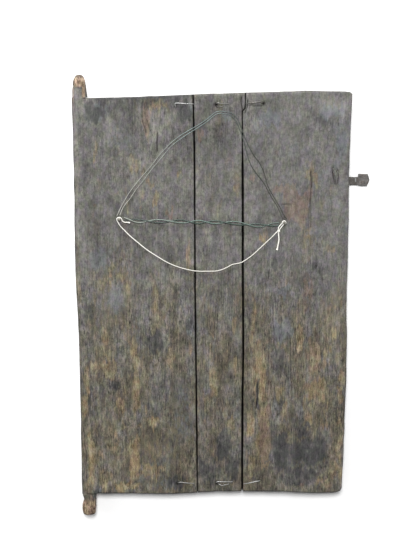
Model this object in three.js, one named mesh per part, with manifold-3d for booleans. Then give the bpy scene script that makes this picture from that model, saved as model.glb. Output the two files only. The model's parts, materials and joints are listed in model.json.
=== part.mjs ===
// A small plank shutter, lying on its carved front with the plain back up.
// Millimetres, +Z up. +X is the latch side, +Y the top end. Z 0 is the tops of the front carving.
// Three boards are held side by side by iron staples that are clinched on the back.
// The left board carries the two pegs that the shutter turned on.

import * as THREE from 'three';
import { mergeVertices } from 'three/addons/utils/BufferGeometryUtils.js';
import Module from 'manifold-3d';

const wasm = await Module();
wasm.setup();

// Driving dimensions
const reliefHeight = 7;
const boardThickness = 24;
const groundZ = reliefHeight;
const backZ = reliefHeight + boardThickness;
const middleZ = (groundZ + backZ) / 2;
const touchGap = 0.3;
const edgeWear = 1.5;

// The outline of the three boards together, seen on the back, clockwise from the bottom left
const boardLeft = -208.4;
const boardOutline = [
  [-204.6, -285.5], [-204.6, -79], [-205.8, -20], [-207, 10], [boardLeft, 45], [-207.6, 150],
  [boardLeft, 262], [-208.3, 287.8], [-160, 288.3], [-83, 291.1], [-6, 294.1], [60, 296.1],
  [115, 297.9], [170, 297], [176.6, 296.2], [178.5, 294], [176.6, 190], [177.6, 98], [177, -5],
  [178.9, -61], [178.8, -118], [177.1, -221], [175.7, -266], [175.4, -276.4], [173.5, -280.8],
  [168, -283.3], [140, -284.8], [115, -284.2], [90, -282.4], [-5, -282.2], [-20, -282.8],
  [-60, -285.6], [-100, -285.8], [-146, -285.2],
];

// The left edge of the back is worn round like a stile
const stileRound = 10;

// The joints between the boards, from top to bottom
const jointWidthLeft = 2;
const jointWidthRight = 2.5;
const jointLeft = [[-40.8, 300], [-38.9, 217], [-38.3, 20], [-36.8, -128], [-35.1, -300]];
const jointRight = [
  [31.7, 300], [31.4, 273.4], [27.1, 271], [28.7, 150], [29.1, 62], [30.7, -76], [29.8, -140], [30.1, -300],
];

// The pegs: radius and height up the board
const pegSides = 16;
const topPegX = -198.2;
const topPegProfile = [
  [0, 276], [10.2, 276], [10.2, 290], [9.5, 296], [8.3, 301.5], [8.9, 306.5], [8.3, 312],
  [6, 317], [2.5, 320], [0, 320],
];
const bottomPegX = -195;
const bottomPegProfile = [
  [0, -276], [11, -276], [10.9, -288], [9.6, -295.5], [10.5, -303], [10.8, -311], [9.8, -316.5],
  [7.4, -320], [0, -320],
];

// The front carving, a raised frame and bars with lozenges and zigzags
const frameCentre = { x: -15, y: 6 };
const frameWidth = 314;
const frameHeight = 512;
const frameBar = 15;
const crossBar = 11;
const carvedBevel = 1.6;
const zigzagTeeth = 9;
const zigzagHeight = 22;

// Iron
const wireRadius = 1.2;
const holeRadius = wireRadius + touchGap;
const crownZ = groundZ - touchGap - wireRadius;
const clinchZ = backZ + touchGap + wireRadius;
const nailRadius = 1.3;
const nailDepth = 14;
const nailStands = 7.6;
const nailHeadRadius = 2.2;
const nailHeadThickness = 1.1;
const nailLeft = [-144.1, 121.1];
const nailRight = [86.4, 116.3];

// The latch: a flat iron tongue whose eye is held by a staple, lying against the front
const latchThickness = 3;
const latchTopZ = groundZ - touchGap;
const latchEye = { x: 164, y: 185, inner: 6.2, outer: 10.2 };
const latchNeck = { left: 166, right: 193, bottom: 166.2, top: 177 };
const latchHead = [[192.1, 165.6], [204.4, 164.5], [208.4, 173.1], [205.6, 181.5], [192.1, 181.4]];

// The wire and string that the shutter hangs by, lying on the back
const strandDiameter = 1.6;
const loopDiameter = 1.1;
const twistDiameter = 2 * strandDiameter;
const stringDiameter = 2;
const cordSides = 8;

const material = (colour, roughness, metalness) =>
  new THREE.MeshStandardMaterial({ color: colour, roughness, metalness });
const woodLeft = material(0x77736c, 0.85, 0);
const woodMiddle = material(0x6f6c65, 0.85, 0);
const woodRight = material(0x74716c, 0.85, 0);
const iron = material(0x706d6c, 0.6, 0.8);
const greenPlastic = material(0x4f6e63, 0.4, 0);
const whiteString = material(0xe4e1d8, 0.9, 0);

// Booleans: a three.js geometry becomes a solid, and a solid a geometry
function toSolid(geometry) {
  const plain = geometry.index ? geometry.toNonIndexed() : geometry.clone();
  plain.deleteAttribute('normal');
  plain.deleteAttribute('uv');
  const merged = mergeVertices(plain, 1e-4);
  return new wasm.Manifold(new wasm.Mesh({
    numProp: 3,
    vertProperties: new Float32Array(merged.attributes.position.array),
    triVerts: new Uint32Array(merged.index.array),
  }));
}

function toGeometry(solid) {
  const mesh = solid.getMesh();
  const geometry = new THREE.BufferGeometry();
  geometry.setAttribute('position', new THREE.BufferAttribute(new Float32Array(mesh.vertProperties), 3));
  geometry.setIndex(new THREE.BufferAttribute(new Uint32Array(mesh.triVerts), 1));
  const flat = geometry.toNonIndexed();
  flat.computeVertexNormals();
  return flat;
}

const addAll = (solids) => solids.reduce((sum, solid) => sum.add(solid));
const cutAll = (solid, cutters) => cutters.reduce((rest, cutter) => rest.subtract(cutter), solid);

// A flat outline raised from z0 to z1, with its rims worn off by a bevel
function slab(outline, z0, z1, bevel = 0, holes = []) {
  const shape = new THREE.Shape(outline.map(([x, y]) => new THREE.Vector2(x, y)));
  shape.holes = holes.map((hole) => new THREE.Path(hole.map(([x, y]) => new THREE.Vector2(x, y))));
  const geometry = new THREE.ExtrudeGeometry(shape, {
    depth: z1 - z0 - 2 * bevel,
    bevelEnabled: bevel > 0,
    bevelThickness: bevel,
    bevelSize: bevel,
    bevelOffset: -bevel,
    bevelSegments: 1,
  });
  geometry.translate(0, 0, z0 + bevel);
  return toSolid(geometry);
}

const rectangle = (x, y, width, height) => [
  [x - width / 2, y - height / 2], [x + width / 2, y - height / 2],
  [x + width / 2, y + height / 2], [x - width / 2, y + height / 2],
];
const lozenge = (x, y, width, height) => [
  [x - width / 2, y], [x, y - height / 2], [x + width / 2, y], [x, y + height / 2],
];

function uprightCylinder(x, y, radius, z0, z1, sides = 8) {
  const geometry = new THREE.CylinderGeometry(radius, radius, z1 - z0, sides);
  geometry.rotateX(Math.PI / 2);
  geometry.translate(x, y, (z0 + z1) / 2);
  return toSolid(geometry);
}

// A bent rod: rings of one section, each slid along its stretch to the plane that halves the next bend
function bentRod(points, radius, sides = 8) {
  const places = points.map((point) => new THREE.Vector3(...point));
  const ways = places.slice(1).map((place, i) => place.clone().sub(places[i]).normalize());
  const turn = new THREE.Quaternion().setFromUnitVectors(new THREE.Vector3(0, 0, 1), ways[0]);
  let ring = [];
  for (let i = 0; i < sides; i += 1) {
    const angle = 2 * Math.PI * (i + 0.5) / sides;
    const spoke = new THREE.Vector3(radius * Math.cos(angle), radius * Math.sin(angle), 0);
    ring.push(spoke.applyQuaternion(turn).add(places[0]));
  }
  const rings = [ring];
  ways.forEach((way, i) => {
    const next = ways[i + 1] ?? way;
    const bisector = way.clone().add(next).normalize();
    ring = ring.map((corner) => {
      const reach = places[i + 1].clone().sub(corner).dot(bisector) / way.dot(bisector);
      return corner.clone().addScaledVector(way, reach);
    });
    rings.push(ring);
  });
  const corners = [places[0], ...rings.flat(), places[places.length - 1]];
  const last = corners.length - 1;
  const faces = [];
  for (let i = 0; i < sides; i += 1) {
    const j = (i + 1) % sides;
    faces.push(0, 1 + j, 1 + i, last, last - sides + i, last - sides + j);
    for (let k = 0; k + 1 < rings.length; k += 1) {
      const here = 1 + k * sides;
      const there = here + sides;
      faces.push(here + i, here + j, there + j, here + i, there + j, there + i);
    }
  }
  const geometry = new THREE.BufferGeometry().setFromPoints(corners);
  geometry.setIndex(faces);
  return toSolid(geometry);
}

// The carving on the front, all of one height, over the three boards together
function frontCarving() {
  const { x, y } = frameCentre;
  const top = groundZ + 2;
  const raised = (outline, holes = []) => slab(outline, 0, top + carvedBevel, carvedBevel, holes);
  const innerWidth = frameWidth - 2 * frameBar;
  const innerHeight = frameHeight - 2 * frameBar;
  const pieces = [raised(
    rectangle(x, y, frameWidth, frameHeight),
    [rectangle(x, y, innerWidth, innerHeight).reverse()],
  )];

  // Two pairs of bars part the field in three, with a zigzag between the bars of each pair
  const pairReach = zigzagHeight + crossBar;
  for (const side of [-1, 1]) {
    const pairY = y + side * innerHeight / 5;
    for (const step of [-1, 1]) {
      pieces.push(raised(rectangle(x, pairY + step * pairReach / 2, innerWidth + 4, crossBar)));
    }
    const tooth = innerWidth / zigzagTeeth;
    for (let i = 0; i < zigzagTeeth; i += 1) {
      const centre = x - innerWidth / 2 + (i + 0.5) * tooth;
      pieces.push(raised(lozenge(centre, pairY, tooth * 0.86, zigzagHeight * 0.84)));
    }
  }

  // A great lozenge within a lozenge in the middle, and a row of three above and below
  const great = innerHeight * 0.24;
  pieces.push(raised(
    lozenge(x, y, innerWidth * 0.8, great * 1.18),
    [lozenge(x, y, innerWidth * 0.8 - 44, great * 1.18 - 24).reverse()],
  ));
  pieces.push(raised(lozenge(x, y, innerWidth * 0.36, great * 0.5)));
  const rowReach = innerHeight * 0.378;
  for (const side of [-1, 1]) {
    for (const place of [-1, 0, 1]) {
      const centre = x + place * innerWidth / 3;
      const outer = { width: innerWidth / 3 - 12, height: innerHeight * 0.185 };
      pieces.push(raised(
        lozenge(centre, y + side * rowReach, outer.width, outer.height),
        [lozenge(centre, y + side * rowReach, outer.width - 26, outer.height - 28).reverse()],
      ));
      pieces.push(raised(lozenge(centre, y + side * rowReach, outer.width * 0.36, outer.height * 0.36)));
    }
  }
  return addAll(pieces);
}

// The back is rounded off along the stile: a section across the boards, run the whole length
function stileSection() {
  const section = new THREE.Shape();
  section.moveTo(boardLeft - 1, -1);
  section.lineTo(200, -1);
  section.lineTo(200, backZ + 1);
  section.lineTo(boardLeft + stileRound * 1.3, backZ + 1);
  section.lineTo(boardLeft + stileRound * 1.2, backZ);
  section.quadraticCurveTo(boardLeft + 1, backZ - 1, boardLeft - 1, backZ - stileRound);
  const geometry = new THREE.ExtrudeGeometry(section, { depth: 640, bevelEnabled: false, curveSegments: 5 });
  geometry.rotateX(Math.PI / 2);
  geometry.translate(0, 320, 0);
  return toSolid(geometry);
}

function peg(profile, x) {
  const rising = profile[0][1] < profile[profile.length - 1][1];
  const points = (rising ? profile : [...profile].reverse()).map(([r, y]) => new THREE.Vector2(r, y));
  const geometry = new THREE.LatheGeometry(points, pegSides);
  geometry.translate(x, 0, middleZ);
  return toSolid(geometry);
}

const shifted = (line, dx) => line.map(([x, y]) => [x + dx, y]);

// Each board is the part of the whole that lies between two joints
function boards(holes) {
  const whole = slab(boardOutline, groundZ, backZ, edgeWear)
    .intersect(stileSection())
    .add(frontCarving());
  const farLeft = [[-230, -300], [-230, 300]];
  const farRight = [[200, 300], [200, -300]];
  const leftReach = [...farLeft, ...shifted(jointLeft, -jointWidthLeft / 2)];
  const middleReach = [
    ...[...shifted(jointLeft, jointWidthLeft / 2)].reverse(),
    ...shifted(jointRight, -jointWidthRight / 2),
  ];
  const rightReach = [...[...shifted(jointRight, jointWidthRight / 2)].reverse(), ...farRight];
  const between = (reach) => cutAll(whole.intersect(slab(reach, -1, backZ + 1)), holes);
  const left = between(leftReach)
    .add(peg(topPegProfile, topPegX))
    .add(peg(bottomPegProfile, bottomPegX));
  return { left, middle: between(middleReach), right: between(rightReach) };
}

// A staple: its crown lies on the front, and its legs come through and are clinched on the back
const staples = {
  staple_top_left: {
    first: [-64.7, 277], firstClinch: [[-64.9, 281.4], [-40.2, 280.4]],
    last: [-9.6, 279.2], lastClinch: [[-7.6, 281.6], [8.4, 280.9]],
  },
  staple_top_right: {
    first: [-7.2, 277.4], firstClinch: [[-4, 276.9], [5.6, 277.8]],
    last: [56, 281.4], lastClinch: [[51, 283.2], [32.2, 281.2]],
  },
  staple_bottom_left: {
    first: [-64.6, -268.8], firstClinch: [[-61, -266.8], [-40.3, -268.9]],
    last: [-7.6, -267.4], lastClinch: [[-4.6, -265.8], [15.8, -266.3]],
  },
  staple_bottom_right: {
    first: [-5.2, -269.2], firstClinch: [[0.4, -271.6], [10.6, -269.6]],
    last: [55.3, -265], lastClinch: [[49, -265.9], [32, -269.8]],
  },
};
const latchStaple = {
  first: [153.9, 191.4], firstClinch: [[154.6, 187], [156.8, 171.2]],
  last: [160.2, 187.6], lastClinch: [[160.4, 184], [160.4, 171.8]],
};

const legHoles = ({ first, last }) =>
  [first, last].map(([x, y]) => uprightCylinder(x, y, holeRadius, -1, backZ + 1));

function staple({ first, last, firstClinch, lastClinch }, crownHeight) {
  const raise = (points, z) => points.map(([x, y]) => [x, y, z]);
  return bentRod([
    ...raise([...firstClinch].reverse(), clinchZ),
    [...first, clinchZ],
    [...first, crownHeight],
    [...last, crownHeight],
    [...last, clinchZ],
    ...raise(lastClinch, clinchZ),
  ], wireRadius);
}

function latchTongue() {
  const low = latchTopZ - latchThickness;
  const eye = uprightCylinder(latchEye.x, latchEye.y, latchEye.outer, low, latchTopZ, 20);
  const neck = slab([
    [latchNeck.left, latchNeck.bottom + 6], [latchNeck.left + 9, latchNeck.bottom],
    [latchNeck.right, latchNeck.bottom], [latchNeck.right, latchNeck.top],
    [latchNeck.left, latchNeck.top + 1],
  ], low, latchTopZ);
  const head = slab(latchHead, low, latchTopZ, 0.5);
  const opening = uprightCylinder(latchEye.x, latchEye.y, latchEye.inner, low - 1, latchTopZ + 1, 16);
  return addAll([eye, neck, head]).subtract(opening);
}

function nail([x, y]) {
  const head = backZ + nailStands;
  const tip = backZ - nailDepth;
  const profile = [
    [0, tip], [nailRadius * 0.3, tip], [nailRadius, tip + 4], [nailRadius, head - nailHeadThickness],
    [nailHeadRadius, head - nailHeadThickness], [nailHeadRadius * 0.9, head], [0, head],
  ];
  const geometry = new THREE.LatheGeometry(profile.map(([r, z]) => new THREE.Vector2(r, z)), 10);
  geometry.rotateX(Math.PI / 2);
  geometry.translate(x, y, 0);
  return geometry;
}

const nailHoles = [nailLeft, nailRight].map(([x, y]) =>
  uprightCylinder(x, y, nailRadius + touchGap, backZ - nailDepth - touchGap, backZ + 1, 10));

// A cord's tube along a smooth curve through hand-chosen places
function cordTube(route, diameter, steps) {
  const curve = new THREE.CatmullRomCurve3(route.map((place) => new THREE.Vector3(...place)));
  const section = new THREE.Shape();
  for (let i = 0; i < cordSides; i += 1) {
    const angle = 2 * Math.PI * (i + 0.5) / cordSides;
    const place = [diameter / 2 * Math.cos(angle), diameter / 2 * Math.sin(angle)];
    if (i === 0) section.moveTo(...place);
    else section.lineTo(...place);
  }
  return new THREE.ExtrudeGeometry(section, { steps, extrudePath: curve, bevelEnabled: false });
}

// Heights of the centrelines on the back
const loopZ = backZ + touchGap + loopDiameter / 2;
const twistZ = backZ + touchGap + twistDiameter / 2;
const stringZ = backZ + touchGap + stringDiameter / 2;
const stringNailZ = stringZ + 3.7;
const atHeight = (places, z) => places.map(([x, y]) => [x, y, z]);

const twistRoute = atHeight([
  [-137.8, 121.1], [-128.6, 119.9], [-116.7, 118], [-101.3, 118], [-78.9, 117.8], [-60.7, 117.8],
  [-45.3, 116.9], [-25.7, 116.8], [-0.5, 116.3], [16.3, 115.5], [31.7, 113.6], [49.9, 111.9],
  [61.2, 112.2], [79.4, 113.9],
], twistZ);
const outerRoute = atHeight([
  [-147.3, 125.6], [-141.4, 138.2], [-131.3, 155.7], [-121.8, 168.6], [-112.8, 179.5], [-105.8, 187.3],
  [-99.3, 194.8], [-89.1, 208], [-79.7, 218.7], [-70.4, 227.9], [-58.2, 237.1], [-46.4, 244.4],
  [-34, 251.4], [-22.9, 258.9], [-15.5, 264.9], [-10, 268.8], [-4.2, 270.5], [5.2, 269.7],
  [13.5, 267.4], [20.1, 260.5], [25.1, 249.5], [30.5, 235.5], [37.2, 220.9], [44.5, 208.4],
  [50.7, 200.4], [56, 190.1], [59.2, 180.9], [61.6, 171.2], [66, 161.7], [72.6, 150.4], [80, 138.3],
  [85.8, 127.6], [90, 121.4],
], loopZ);
const innerRoute = atHeight([
  [-143.4, 126.2], [-139.4, 135.8], [-134.2, 143.1], [-128.6, 150], [-120.8, 161.6], [-111.3, 173.2],
  [-104.2, 182.9], [-97.9, 191], [-91.5, 198.4], [-84.1, 207.2], [-75.3, 217.8], [-66.4, 226.4],
  [-56.1, 233.8], [-45, 241.3], [-32.9, 248.7], [-21.8, 256.1], [-14.4, 262.3], [-8.9, 266.2],
  [-3.1, 267.8], [4.9, 266.9], [11.8, 264.4], [18.2, 257.3], [23.2, 246.5], [27.7, 234.4], [31.9, 220],
  [35.9, 205.6], [40.2, 195.1], [45.8, 186.5], [52.5, 178.1], [58.7, 169.7], [63.5, 160.5],
  [70, 149.3], [77, 138], [82.2, 126.8], [84.8, 121.6],
], loopZ);
const stringRoute = [
  [-129, 115.4, stringZ + 1.2], [-132.9, 116.4, stringZ + 1.8], [-136.6, 116.6, stringZ + 2.4],
  [-139.6, 118.6, stringNailZ - 0.6], [-140.7, 121.7, stringNailZ], [-143.6, 123.9, stringNailZ],
  [-147, 122.6, stringNailZ], [-147.6, 119.9, stringNailZ - 0.8], [-146, 116.4, stringNailZ - 2],
  [-142.6, 111.2, stringZ + 0.8], [-137.2, 105.2, stringZ], [-128.2, 95.7, stringZ],
  [-117, 86.2, stringZ], [-103.1, 75, stringZ], [-89.1, 65.8, stringZ], [-75, 58.2, stringZ],
  [-61, 52.4, stringZ], [-46.9, 48.6, stringZ], [-32.8, 46.6, stringZ], [-18.7, 46.2, stringZ],
  [-8.9, 46.6, stringZ], [-0.4, 48.9, stringZ], [8.1, 52.9, stringZ], [13.7, 56, stringZ],
  [19.3, 57.2, stringZ], [26.4, 58.9, stringZ], [33.4, 63.2, stringZ], [41.9, 69.5, stringZ],
  [51.6, 77.8, stringZ], [65.6, 91.3, stringZ], [76.6, 102.6, stringZ], [79.8, 108, stringZ + 0.9],
];
const stringTail = [
  [79.8, 108, stringZ + 0.9], [78.6, 102, stringZ + 0.4], [78.7, 91.2, stringZ], [77.3, 76.4, stringZ],
];

// The string goes round the right nail and is knotted, and its short end hangs from the knot
function hangingString() {
  const [nailX, nailY] = nailRight;
  const ringRadius = nailRadius + touchGap + stringDiameter / 2;
  const ring = new THREE.TorusGeometry(ringRadius, stringDiameter / 2, 6, 12);
  ring.translate(nailX, nailY, stringNailZ);
  const knotPlace = stringRoute[stringRoute.length - 1];
  const knot = new THREE.SphereGeometry(stringDiameter, 8, 6);
  knot.translate(...knotPlace);
  const ringFoot = [nailX - ringRadius * 0.8, nailY - ringRadius * 0.75, stringNailZ];
  return addAll([
    toSolid(cordTube(stringRoute, stringDiameter, 76)),
    toSolid(cordTube(stringTail, stringDiameter, 8)),
    bentRod([knotPlace, ringFoot], stringDiameter * 0.62),
    toSolid(knot),
    toSolid(ring),
  ]);
}

const shutter = new THREE.Group();

function place(name, geometry, look) {
  const mesh = new THREE.Mesh(geometry, look);
  mesh.name = name;
  shutter.add(mesh);
}

const holes = [
  ...Object.values(staples).flatMap(legHoles),
  ...legHoles(latchStaple),
  ...nailHoles,
];
const { left, middle, right } = boards(holes);
place('plank_left', toGeometry(left), woodLeft);
place('plank_middle', toGeometry(middle), woodMiddle);
place('plank_right', toGeometry(right), woodRight);

for (const [name, legs] of Object.entries(staples)) {
  place(name, toGeometry(staple(legs, crownZ)), iron);
}
const latchCrownZ = latchTopZ - latchThickness - touchGap - wireRadius;
place('latch_staple', toGeometry(staple(latchStaple, latchCrownZ)), iron);
place('latch_tongue', toGeometry(latchTongue()), iron);
place('nail_left', nail(nailLeft), iron);
place('nail_right', nail(nailRight), iron);

place('hanging_wire_twist', cordTube(twistRoute, twistDiameter, 30), greenPlastic);
place('hanging_wire_outer', cordTube(outerRoute, loopDiameter, 62), greenPlastic);
place('hanging_wire_inner', cordTube(innerRoute, loopDiameter, 62), greenPlastic);
place('hanging_string', toGeometry(hangingString()), whiteString);

export default shutter;
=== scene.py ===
# %% [markdown]
# # An old plank shutter with its plain back up
#
# The real thing is a small shutter of three heavy boards, cut by hand. It turned on two pegs
# at its left edge, iron staples hold the boards together, and later somebody hung it up by
# wire and string. The boards, iron and cords are placed by a CAD model that this script
# loads. Everything here is the finish: cut and weathered wood, forged iron, coated wire and
# cotton string. Sizes are written in millimetres and turned into metres where a mesh is made.

# %% Open the frame
import math

import bmesh
import bpy
import numpy as np
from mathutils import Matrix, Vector
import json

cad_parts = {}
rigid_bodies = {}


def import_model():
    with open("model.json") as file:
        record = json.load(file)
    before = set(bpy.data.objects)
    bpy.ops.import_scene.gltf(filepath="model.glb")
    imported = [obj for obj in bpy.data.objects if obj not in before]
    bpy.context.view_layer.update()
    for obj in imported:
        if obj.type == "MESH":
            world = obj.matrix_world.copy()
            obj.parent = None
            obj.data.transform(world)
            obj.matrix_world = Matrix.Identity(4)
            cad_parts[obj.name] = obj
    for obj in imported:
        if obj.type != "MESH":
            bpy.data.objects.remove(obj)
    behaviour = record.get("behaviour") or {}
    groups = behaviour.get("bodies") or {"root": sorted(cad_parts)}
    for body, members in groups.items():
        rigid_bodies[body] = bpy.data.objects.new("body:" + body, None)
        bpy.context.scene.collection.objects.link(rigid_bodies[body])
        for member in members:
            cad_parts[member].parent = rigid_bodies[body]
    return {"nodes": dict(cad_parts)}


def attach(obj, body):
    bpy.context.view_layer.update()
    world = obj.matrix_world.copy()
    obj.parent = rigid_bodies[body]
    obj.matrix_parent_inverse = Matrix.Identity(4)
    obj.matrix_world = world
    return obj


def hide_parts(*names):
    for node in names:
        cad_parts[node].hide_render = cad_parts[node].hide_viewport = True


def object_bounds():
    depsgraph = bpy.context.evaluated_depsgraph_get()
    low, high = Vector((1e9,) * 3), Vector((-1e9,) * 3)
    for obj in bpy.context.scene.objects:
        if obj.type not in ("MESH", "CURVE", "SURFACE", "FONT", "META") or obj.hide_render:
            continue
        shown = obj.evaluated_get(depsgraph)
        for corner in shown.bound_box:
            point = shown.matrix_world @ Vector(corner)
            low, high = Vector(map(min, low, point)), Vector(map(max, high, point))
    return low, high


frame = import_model()
cad_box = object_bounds()
MM = 0.001
back_z = 31.0
ground_z = 7.0
print("nodes in the frame:", sorted(frame["nodes"]))

# %% [markdown]
# ## The camera
#
# The photograph looks square at the back, from about a metre and a half, with the top end a
# little nearer than the bottom. Here the shutter lies down, so the camera looks down on it,
# pitched by the same ten degrees. A long lens keeps the sides of the boards out of view.

# %% Camera
view_pitch = math.radians(10.53)
view_distance = 1695.5
aim = Vector((-24.3, 43.05, back_z))
sensor_width = 36.0
focal_length = 1200 / 410 * sensor_width

bpy.ops.object.select_all(action="DESELECT")
away = Vector((0, math.sin(view_pitch), math.cos(view_pitch)))
bpy.ops.object.camera_add(location=(aim + away * view_distance) * MM, rotation=(-view_pitch, 0, 0))
camera = bpy.context.object
camera.name = "shutter_camera"
camera.data.sensor_fit = "HORIZONTAL"
camera.data.sensor_width = sensor_width
camera.data.lens = focal_length
camera.data.clip_end = 20
bpy.context.scene.camera = camera
bpy.context.scene.view_settings.view_transform = "Standard"
print("camera at", tuple(round(v, 3) for v in camera.location), "lens", round(focal_length, 1))


# %% [markdown]
# ## Lines that cords follow
#
# A cord is a fixed length of something that bends, so its centreline comes first. The places
# below are listed along each run, and a smooth curve is passed through them. Points
# are then spread evenly along that curve, so that a twist keeps its pitch.

# %% Smooth lines
def smooth_line(places, step):
    """Points about step apart on a smooth curve through the places."""
    p = np.array(places, dtype=float)
    p = np.vstack([2 * p[0] - p[1], p, 2 * p[-1] - p[-2]])
    t = np.linspace(0, 1, 24, endpoint=False)[:, None]
    runs = []
    for a, b, c, d in zip(p[:-3], p[1:-2], p[2:-1], p[3:]):
        runs.append(0.5 * (2 * b + (c - a) * t + (2 * a - 5 * b + 4 * c - d) * t**2
                           + (3 * b - a - 3 * c + d) * t**3))
    fine = np.vstack(runs + [p[-2]])
    along = np.r_[0, np.cumsum(np.linalg.norm(np.diff(fine, axis=0), axis=1))]
    spots = np.linspace(0, along[-1], max(2, round(along[-1] / step) + 1))
    return np.column_stack([np.interp(spots, along, fine[:, k]) for k in range(3)])


def line_length(line):
    return float(np.linalg.norm(np.diff(line, axis=0), axis=1).sum())


def side_of(line):
    """The level direction square to the line at each of its points."""
    ways = np.gradient(line, axis=0)
    side = np.column_stack([-ways[:, 1], ways[:, 0], np.zeros(len(line))])
    return side / np.linalg.norm(side, axis=1)[:, None]


# %% Routes of the wires and the string
strand_diameter = 1.6
loop_diameter = 1.1
loop_z = back_z + 0.3 + loop_diameter / 2
string_diameter = 2.0
twist_z = back_z + 0.3 + 1.6
string_z = back_z + 0.3 + string_diameter / 2
string_nail_z = string_z + 3.7
nail_radius = 1.3
nail_left = (-144.1, 121.1)
nail_right = (86.4, 116.3)

twist_route = [(x, y, twist_z) for x, y in (
    (-137.8, 121.1), (-128.6, 119.9), (-116.7, 118), (-101.3, 118), (-78.9, 117.8), (-60.7, 117.8),
    (-45.3, 116.9), (-25.7, 116.8), (-0.5, 116.3), (16.3, 115.5), (31.7, 113.6), (49.9, 111.9),
    (61.2, 112.2), (79.4, 113.9))]
outer_route = [(x, y, loop_z) for x, y in (
    (-147.3, 125.6), (-141.4, 138.2), (-131.3, 155.7), (-121.8, 168.6), (-112.8, 179.5),
    (-105.8, 187.3), (-99.3, 194.8), (-89.1, 208), (-79.7, 218.7), (-70.4, 227.9), (-58.2, 237.1),
    (-46.4, 244.4), (-34, 251.4), (-22.9, 258.9), (-15.5, 264.9), (-10, 268.8), (-4.2, 270.5),
    (5.2, 269.7), (13.5, 267.4), (20.1, 260.5), (25.1, 249.5), (30.5, 235.5), (37.2, 220.9),
    (44.5, 208.4), (50.7, 200.4), (56, 190.1), (59.2, 180.9), (61.6, 171.2), (66, 161.7),
    (72.6, 150.4), (80, 138.3), (85.8, 127.6), (90, 121.4))]
inner_route = [(x, y, loop_z) for x, y in (
    (-143.4, 126.2), (-139.4, 135.8), (-134.2, 143.1), (-128.6, 150), (-120.8, 161.6),
    (-111.3, 173.2), (-104.2, 182.9), (-97.9, 191), (-91.5, 198.4), (-84.1, 207.2), (-75.3, 217.8),
    (-66.4, 226.4), (-56.1, 233.8), (-45, 241.3), (-32.9, 248.7), (-21.8, 256.1), (-14.4, 262.3),
    (-8.9, 266.2), (-3.1, 267.8), (4.9, 266.9), (11.8, 264.4), (18.2, 257.3), (23.2, 246.5),
    (27.7, 234.4), (31.9, 220), (35.9, 205.6), (40.2, 195.1), (45.8, 186.5), (52.5, 178.1),
    (58.7, 169.7), (63.5, 160.5), (70, 149.3), (77, 138), (82.2, 126.8), (84.8, 121.6))]
string_route = [
    (-129, 115.4, string_z + 1.2), (-132.9, 116.4, string_z + 1.8), (-136.6, 116.6, string_z + 2.4),
    (-139.6, 118.6, string_nail_z - 0.6), (-140.7, 121.7, string_nail_z), (-143.6, 123.9, string_nail_z),
    (-147, 122.6, string_nail_z), (-147.6, 119.9, string_nail_z - 0.8), (-146, 116.4, string_nail_z - 2),
    (-142.6, 111.2, string_z + 0.8), (-137.2, 105.2, string_z),
    (-128.2, 95.7, string_z), (-117, 86.2, string_z), (-103.1, 75, string_z), (-89.1, 65.8, string_z),
    (-75, 58.2, string_z), (-61, 52.4, string_z), (-46.9, 48.6, string_z), (-32.8, 46.6, string_z),
    (-18.7, 46.2, string_z), (-8.9, 46.6, string_z), (-0.4, 48.9, string_z), (8.1, 52.9, string_z),
    (13.7, 56, string_z), (19.3, 57.2, string_z), (26.4, 58.9, string_z), (33.4, 63.2, string_z),
    (41.9, 69.5, string_z), (51.6, 77.8, string_z), (65.6, 91.3, string_z), (76.6, 102.6, string_z + 0.4)]


# %% [markdown]
# ## Wood, cut by hand
#
# Nothing on these boards is flat. They were split and dressed with an adze, which leaves
# shallow overlapping scoops, and then weather opened the grain. A dense block is the honest
# way to keep all that as real shape: a cube is cut into a fine grid along each of its three
# directions, and every point is then sent to its place by the functions below, which give the
# outline of the board, the height of its back and the depth of its carved front.

# %% Uneven values
def uneven(x, y, cell_x, cell_y, seed):
    """Smooth values from -1 to 1 that change over about one cell."""
    rng = np.random.default_rng(seed)
    table = rng.uniform(-1, 1, (256, 256))
    gx, gy = x / cell_x + 64.3, y / cell_y + 64.7
    ix, iy = np.floor(gx).astype(int), np.floor(gy).astype(int)
    fx, fy = gx - ix, gy - iy
    fx, fy = fx * fx * (3 - 2 * fx), fy * fy * (3 - 2 * fy)
    corner = lambda i, j: table[(ix + i) % 256, (iy + j) % 256]
    low = corner(0, 0) * (1 - fx) + corner(1, 0) * fx
    high = corner(0, 1) * (1 - fx) + corner(1, 1) * fx
    return low * (1 - fy) + high * fy


def step_up(value, low, high):
    t = np.clip((value - low) / (high - low), 0, 1)
    return t * t * (3 - 2 * t)


# %% Outline of the boards
left_edge = [(-288, -204.6), (-180, -204.6), (-118, -204.6), (-79, -204.6), (-50, -205.4), (-20, -205.8),
             (10, -207.0), (45, -208.4), (90, -208.2), (150, -207.6), (200, -207.7), (262, -208.4), (292, -208.4)]
right_edge = [(-288, 175.3), (-266, 175.7), (-221, 177.1), (-118, 178.8), (-61, 178.9), (-5, 177),
              (98, 177.6), (190, 176.6), (250, 177.2), (270, 178), (286, 178.6), (300, 178.8)]
top_edge = [(-208, 287.8), (-160, 288.3), (-83, 291.1), (-40, 293), (-6, 294.1), (60, 296.1), (115, 297.9),
            (170, 297.0), (176.6, 296.2), (178.5, 294.0)]
bottom_edge = [(-204, -285.5), (-146, -285.2), (-100, -285.8), (-60, -285.6), (-40, -284.2),
               (-20, -282.8), (-5, -282.2), (35, -282.3), (70, -282.2), (90, -282.4), (103, -283.2),
               (115, -284.2), (140, -284.8), (160, -284.2), (168, -283.3), (173.5, -280.8), (176.2, -276.4)]
joint_left = [(-300, -35.1), (-128, -36.8), (20, -38.3), (217, -38.9), (300, -40.8)]
joint_right = [(-300, 30.1), (-140, 29.8), (-76, 30.7), (62, 29.1), (150, 28.7), (268, 27.2),
               (271, 28.0), (274.5, 31.2), (300, 31.7)]
joint_width_left = 1.8
joint_width_right = 2.3


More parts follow.
